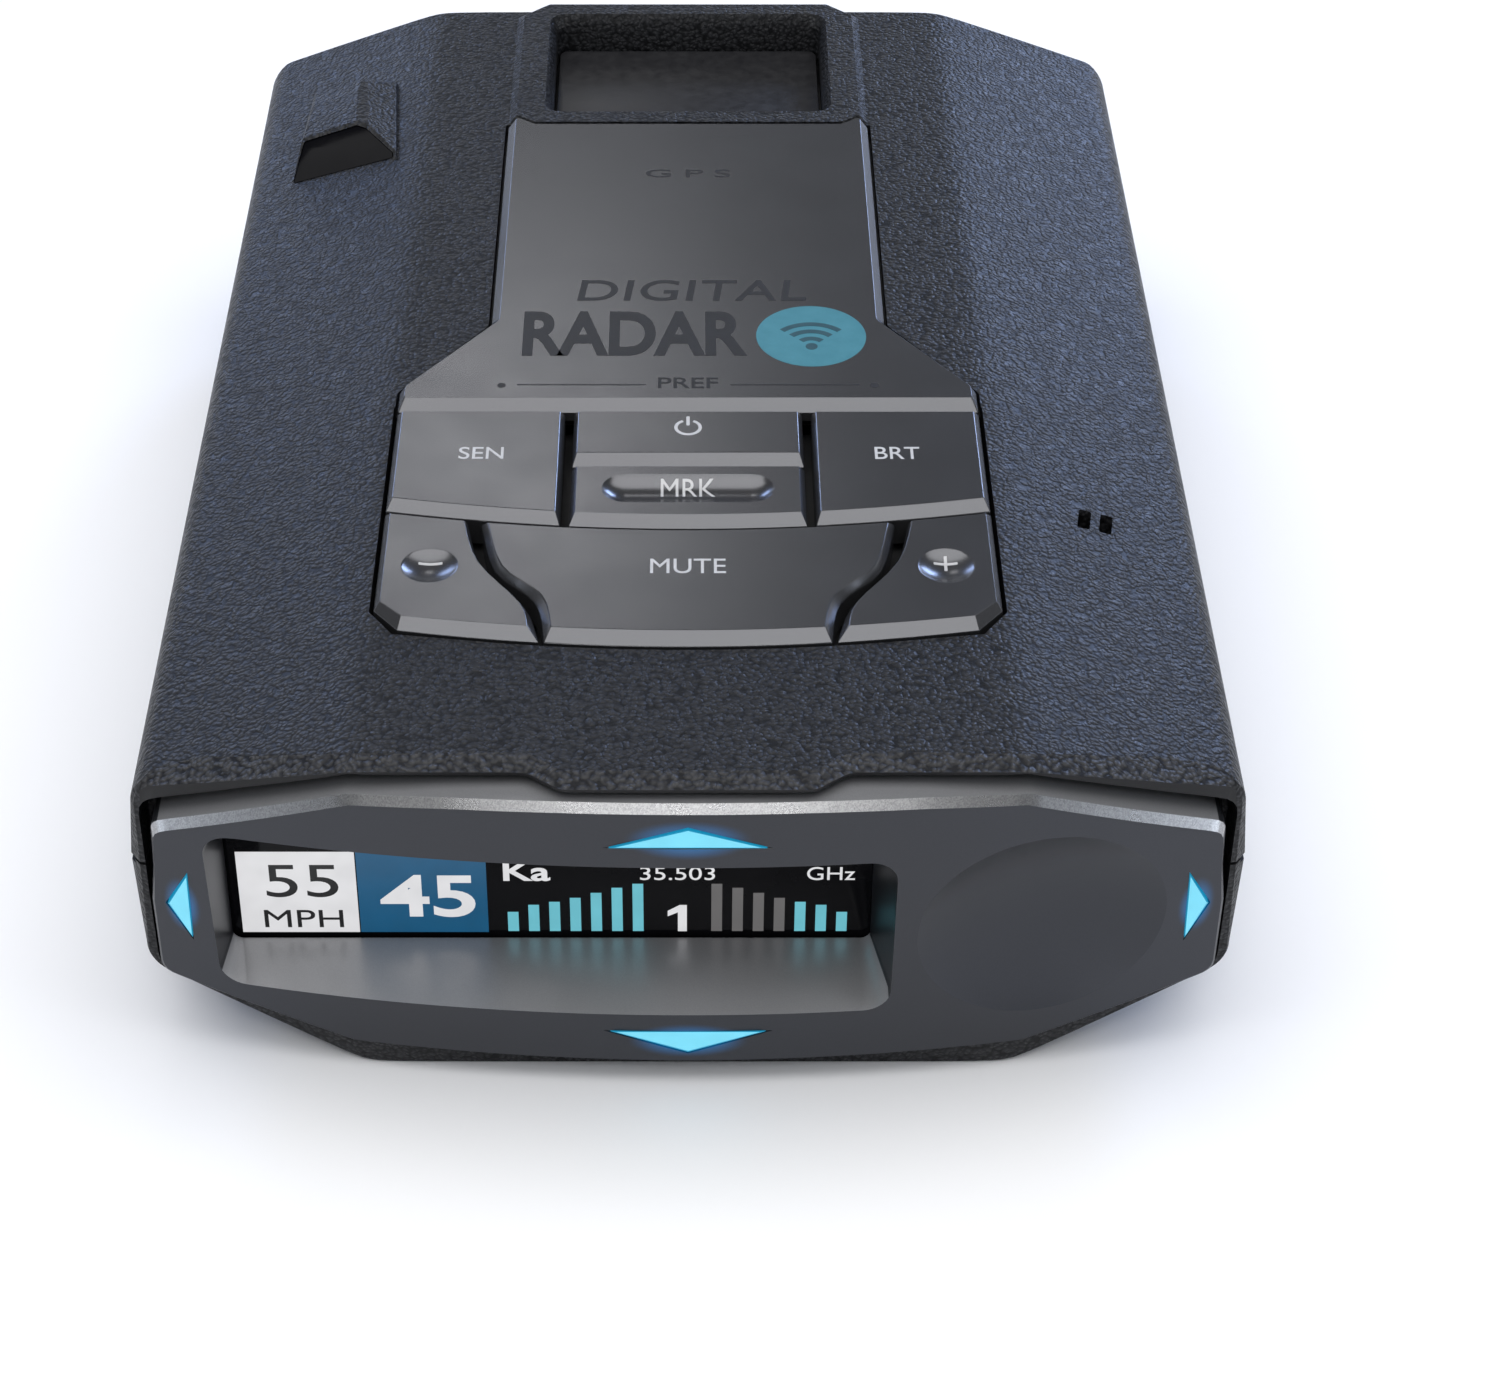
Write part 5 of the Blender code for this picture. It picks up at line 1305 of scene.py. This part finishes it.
def refine(made, step):
    """Slices a flat print across, so that it can follow a curved surface."""
    bm = bmesh.new()
    bm.from_mesh(made.data)
    for axis in (0, 1):
        low = min(vert.co[axis] for vert in bm.verts)
        high = max(vert.co[axis] for vert in bm.verts)
        for index in range(1, int((high - low) / (step * MM)) + 1):
            here, across = Vector(), Vector()
            here[axis] = low + index * step * MM
            across[axis] = 1.0
            parts = bm.verts[:] + bm.edges[:] + bm.faces[:]
            bmesh.ops.bisect_plane(bm, geom=parts, plane_co=here, plane_no=across)
    bm.to_mesh(made.data)
    bm.free()
    return made


def build_scoop_print():
    radius = dip_radius(SCOOP_WIDTH / 2, SCOOP_DEPTH)
    top = PROUD_Z - SCOOP_DEPTH + radius
    made = stencil("print_mark", "MRK", 4.7, 1.9, INK)
    made.data.transform(at(0, SCOOP_Y + 0.75, 0))
    refine(made, PRINT_STEP)
    drape(made, lambda x, y: min(PROUD_Z, top - math.sqrt(max(0.0, radius ** 2 - (y - SCOOP_Y) ** 2)) + 0.01))
    put(made, Matrix.Identity(4), "print_silver", "gunmetal_paint", "mark_button")


def build_volume_print():
    radius = dip_radius(DIMPLE_RADIUS, DIMPLE_DEPTH)
    top = PROUD_Z - DIMPLE_DEPTH + radius
    for name, sign in (("minus", -1), ("plus", 1)):
        made = flat_shape(f"across_{name}", rounded_box((-1.0, 1.0), (-0.13, 0.13), 0.05, 2), INK)
        if name == "plus":
            bar = rounded_box((-0.13, 0.13), (-0.8, 0.8), 0.05, 2)
            made = fuse("print_plus", made, flat_shape("upright_bar", bar, INK * 0.8))
        made.name = f"print_{name}"
        made.data.transform(at(sign * DIMPLE_X, DIMPLE_Y + 0.9, 0))
        refine(made, PRINT_STEP)

        def dip(x, y, sign=sign):
            away = (x - sign * DIMPLE_X) ** 2 + (y - DIMPLE_Y) ** 2
            return min(PROUD_Z, top - math.sqrt(max(0.0, radius ** 2 - away)) + 0.01)

        drape(made, dip)
        put(made, Matrix.Identity(4), "print_silver", "gunmetal_paint", f"{name}_button")


# ---- display

SCREEN_Y = WINDOW_LOW[1]


def screen_frame(x, z, layer):
    """Places a shape drawn in x-y onto the display, x to the right and y up."""
    turn = Matrix.Rotation(math.pi / 2, 4, "X")
    return at(x, SCREEN_Y - layer * 0.02, z) @ turn


def screen_box(name, x, z, look):
    shape = flat_shape(name, [(x[0], z[0]), (x[1], z[0]), (x[1], z[1]), (x[0], z[1])], 0.02)
    put(shape, screen_frame(0, 0, 0), look, "screen")


def screen_text(name, text, size, centre, look, **style):
    put(stencil(name, text, *size, 0.02, **style), screen_frame(*centre, 1), look, "screen")


def build_display():
    outline = rounded_box((WINDOW_LOW[0], WINDOW_HIGH[0]), (WINDOW_LOW[2], WINDOW_HIGH[2]), 1.0)
    glass = upright("screen_glass", outline, SCREEN_Y, SCREEN_Y + 1.0)
    stand_for(dress(soften(glass, 0.1), "window"), "clear_window", "display_window")
    screen_box("screen_limit_box", (-37.3, -27.5), (9.16, 18.17), "screen_white")
    screen_box("screen_speed_box", (-27.4, -16.7), (9.16, 18.17), "screen_blue")
    screen_text("screen_limit", "55", (6.0, 3.6), (-32.0, 14.93), "ink_black")
    screen_text("screen_unit", "MPH", (6.6, 1.95), (-32.1, 10.7), "ink_black")
    screen_text("screen_speed", "45", (7.9, 4.73), (-21.65, 13.25), "screen_white", bold=0.02)
    screen_text("screen_band", "Ka", (3.9, 2.12), (-13.35, 16.0), "screen_white", bold=0.02)
    screen_text("screen_frequency", "35.503", (6.2, 1.45), (-0.87, 15.78), "screen_white")
    screen_text("screen_frequency_unit", "GHz", (3.97, 1.45), (11.83, 15.78), "screen_white")
    one = [(0.05, 0.0), (0.8, 0.0), (0.8, 2.97), (0.2, 2.97), (-0.8, 2.3), (-0.8, 1.7), (0.05, 2.15)]
    put(flat_shape("screen_count", one, 0.02), screen_frame(-0.9, 9.27, 1), "screen_white", "screen")
    build_bars()


def build_bars():
    """Signal strength: a rising row of bars on the left, a mirrored one on the right."""
    base, width, pitch = 9.27, 0.9, 1.74
    rising = [11.44, 12.24, 12.58, 13.03, 13.59, 14.16, 14.61]
    for index, top in enumerate(rising):
        x = -15.06 + index * pitch
        screen_box(f"screen_bar_left_{index}", (x, x + width), (base, top), "screen_cyan")
        x = 12.38 - index * pitch
        look = "screen_cyan" if index < 3 else "screen_grey"
        screen_box(f"screen_bar_right_{index}", (x, x + width), (base, top), look)


# ---- sensors, mount and hidden parts

def build_sensors():
    lens = hood_prism("rear_lens_skin", LENS_OUTLINE, 0.3, 1.5)
    stand_for(dress(soften(lens, 0.08), "black_lens"), "black_lens", "rearward_laser_lens")
    (x0, y0, z0), (x1, y1, z1) = cad("forward_laser_window")
    window = upright("front_window_skin", rounded_box((x0, x1), (z0, z1), 1.6, 8), y0, y1)
    stand_for(dress(soften(window, 0.25, 3), "black_lens"), "black_lens", "forward_laser_window")


def build_mount():
    low, high = PLATE_LOW, PLATE_HIGH
    outline = rounded_box((low[0], high[0]), (low[1], high[1]), 1.0, 8)
    made = soften(plate("mount_plate_skin", outline, low[2], high[2]), 0.12)
    stand_for(dress(made, "plate"), "dark_steel", "mount_plate")


def build_label():
    """Generic rating label: two plain lines of text and two printed rules."""
    (x0, y0, z0), (x1, y1, z1) = cad("rating_label")
    made = plate("label_skin", rounded_box((x0, x1), (y0, y1), 1.5, 6), z0, z1)
    stand_for(dress(made, "label_film"), "label_film", "rating_label")
    under = Matrix.Rotation(math.pi, 4, "Y")
    for name, text, size, y in (("label_title", "RADAR DETECTOR", (24.0, 2.2), 25.0),
                                ("label_power", "12 V DC", (9.0, 1.8), 20.5)):
        put(stencil(name, text, *size, INK, bold=0.005), at(0, y, z0) @ under, "print_silver", "label_film")
    for name, y in (("label_line_upper", 16.5), ("label_line_lower", 12.5)):
        put(flat_shape(name, rounded_box((-13.0, 13.0), (-0.12, 0.12), 0.05, 2), INK), at(0, y, z0) @ under,
            "print_silver", "label_film")


CARRIED = {
    # The CAD nodes that keep their own shape, by look
    "black_plastic": ["display_panel", "button_guide", "rearward_laser_receiver", "forward_laser_receiver",
                      "light_sensor", "power_jack", "earphone_jack", *(f"switch_{name}" for name in BUTTONS)],
    "circuit_board": ["display_board", "keypad_board", "main_board", "gps_board"],
    "flex_film": ["display_ribbon"],
    "steel": ["mount_magnet_left", "mount_magnet_right", "speaker_magnet", *SCREW_NODES],
    "tinned_can": ["rf_shield", "wireless_module", "usb_port"],
    "ceramic": ["gps_patch"],
    "cast_zinc": ["forward_horn_antenna", "rearward_horn_antenna"],
    "plate": ["speaker_frame"],
    "paper_cone": ["speaker_cone"],
}


def dress_carried():
    for look, names in CARRIED.items():
        for name in names:
            made = dress(bpy.data.objects[name], look)
            edge = made.modifiers.new("soft_edges", "BEVEL")
            edge.width = 0.12 * MM
            edge.segments = 2
            edge.limit_method = "ANGLE"
            edge.angle_limit = math.radians(35)


# ---- studio

def build_floor():
    bm = bmesh.new()
    bmesh.ops.create_grid(bm, x_segments=1, y_segments=1, size=2.4)
    floor = new_object("studio_floor", to_mesh(bm, "studio_floor"))
    paper = material("studio_paper", (0.90, 0.90, 0.91), 0.6)
    tint(paper, spread_of(paper, noise(paper, 3.0, 2.0)), (0.89, 0.89, 0.90), (0.91, 0.91, 0.92))
    floor.data.materials.append(paper)


BLUE = (0.45, 0.60, 1.0)
COOL = (0.80, 0.88, 1.0)
OBJECT_MIDDLE = (0, 0, 0.02)
FRONT_MIDDLE = (0, -0.05, 0.02)
SOFT_BOXES = (
    # name, place, aim, size, watts, colour; places and sizes in metres
    ("overhead", (0, -0.10, 1.1), (0, -0.10, 0), (1.8, 1.0), 15.0),
    ("edge_light", (0, -0.90, 1.1), (0, -0.06, 0.03), (0.55, 0.35), 3.2),
    ("front_soft", (-0.30, -1.15, 0.24), (0, -0.06, 0.02), (0.50, 0.36), 2.0),
    ("highlight", (-0.10, 0.95, 0.74), (0, -0.03, 0.03), (0.18, 0.12), 0.35),
    ("back_left", (-0.52, 1.0, 0.42), OBJECT_MIDDLE, (0.35, 0.24), 2.6, BLUE),
    ("back_right", (0.52, 1.0, 0.42), OBJECT_MIDDLE, (0.35, 0.24), 5.0, BLUE),
    ("side_right", (0.95, -0.35, 0.30), FRONT_MIDDLE, (0.40, 0.30), 1.4, COOL),
    ("side_left", (-0.95, -0.35, 0.30), FRONT_MIDDLE, (0.40, 0.30), 0.8, COOL),
)


def area_light(name, where, aim, size, power, colour=(1.0, 1.0, 1.0)):
    """A soft box at a place, pointed at another."""
    lamp = bpy.data.lights.new(name, "AREA")
    lamp.shape = "RECTANGLE"
    lamp.size, lamp.size_y = size
    lamp.energy = power
    lamp.color = colour
    made = new_object(name, lamp)
    made.location = where
    made.rotation_euler = (Vector(aim) - Vector(where)).to_track_quat("-Z", "Y").to_euler()


def build_lights():
    for soft_box in SOFT_BOXES:
        area_light(*soft_box)
    build_world()


def build_world():
    """A pale sky, brightest at the horizon and behind the object."""
    world = bpy.data.worlds.new("studio_world")
    bpy.context.scene.world = world
    world.use_nodes = True
    sky = world.node_tree.nodes["Background"]
    aim = node(world, "ShaderNodeTexCoord")
    parts = node(world, "ShaderNodeSeparateXYZ")
    wire(world, aim, parts, "Generated")
    horizon = remap(world, parts, 0.02, 0.32, 1.25, 0.14, out="Z")
    horizon.interpolation_type = "SMOOTHSTEP"
    behind = remap(world, parts, -0.3, 0.5, 0.75, 1.0, out="Y")
    glow = node(world, "ShaderNodeMath", operation="MULTIPLY")
    wire(world, horizon, glow)
    wire(world, behind, glow, into=1)
    wire(world, glow, sky, into="Strength")
    sky.inputs["Color"].default_value = (0.90, 0.94, 1.0, 1.0)


def build_camera():
    lens = bpy.data.cameras.new("photo_camera")
    lens.sensor_width = 36.0
    lens.lens = 79.97
    lens.shift_x = 0.0413
    lens.shift_y = -0.071
    made = new_object("photo_camera", lens)
    made.location = (0.0, -0.2593, 0.2022)
    made.rotation_euler = (math.radians(52.5), 0.0, 0.0)
    bpy.context.scene.camera = made


build_camera()
build_floor()
build_lights()
bpy.context.scene.view_settings.view_transform = "Standard"
build_top_shell()
build_bottom_shell()
build_feet()
build_parting_lip()
build_bezel()
build_arrows()
build_fascia()
build_strip_print()
build_badge()
build_buttons()
build_button_print()
build_display()
build_sensors()
build_mount()
build_label()
dress_carried()
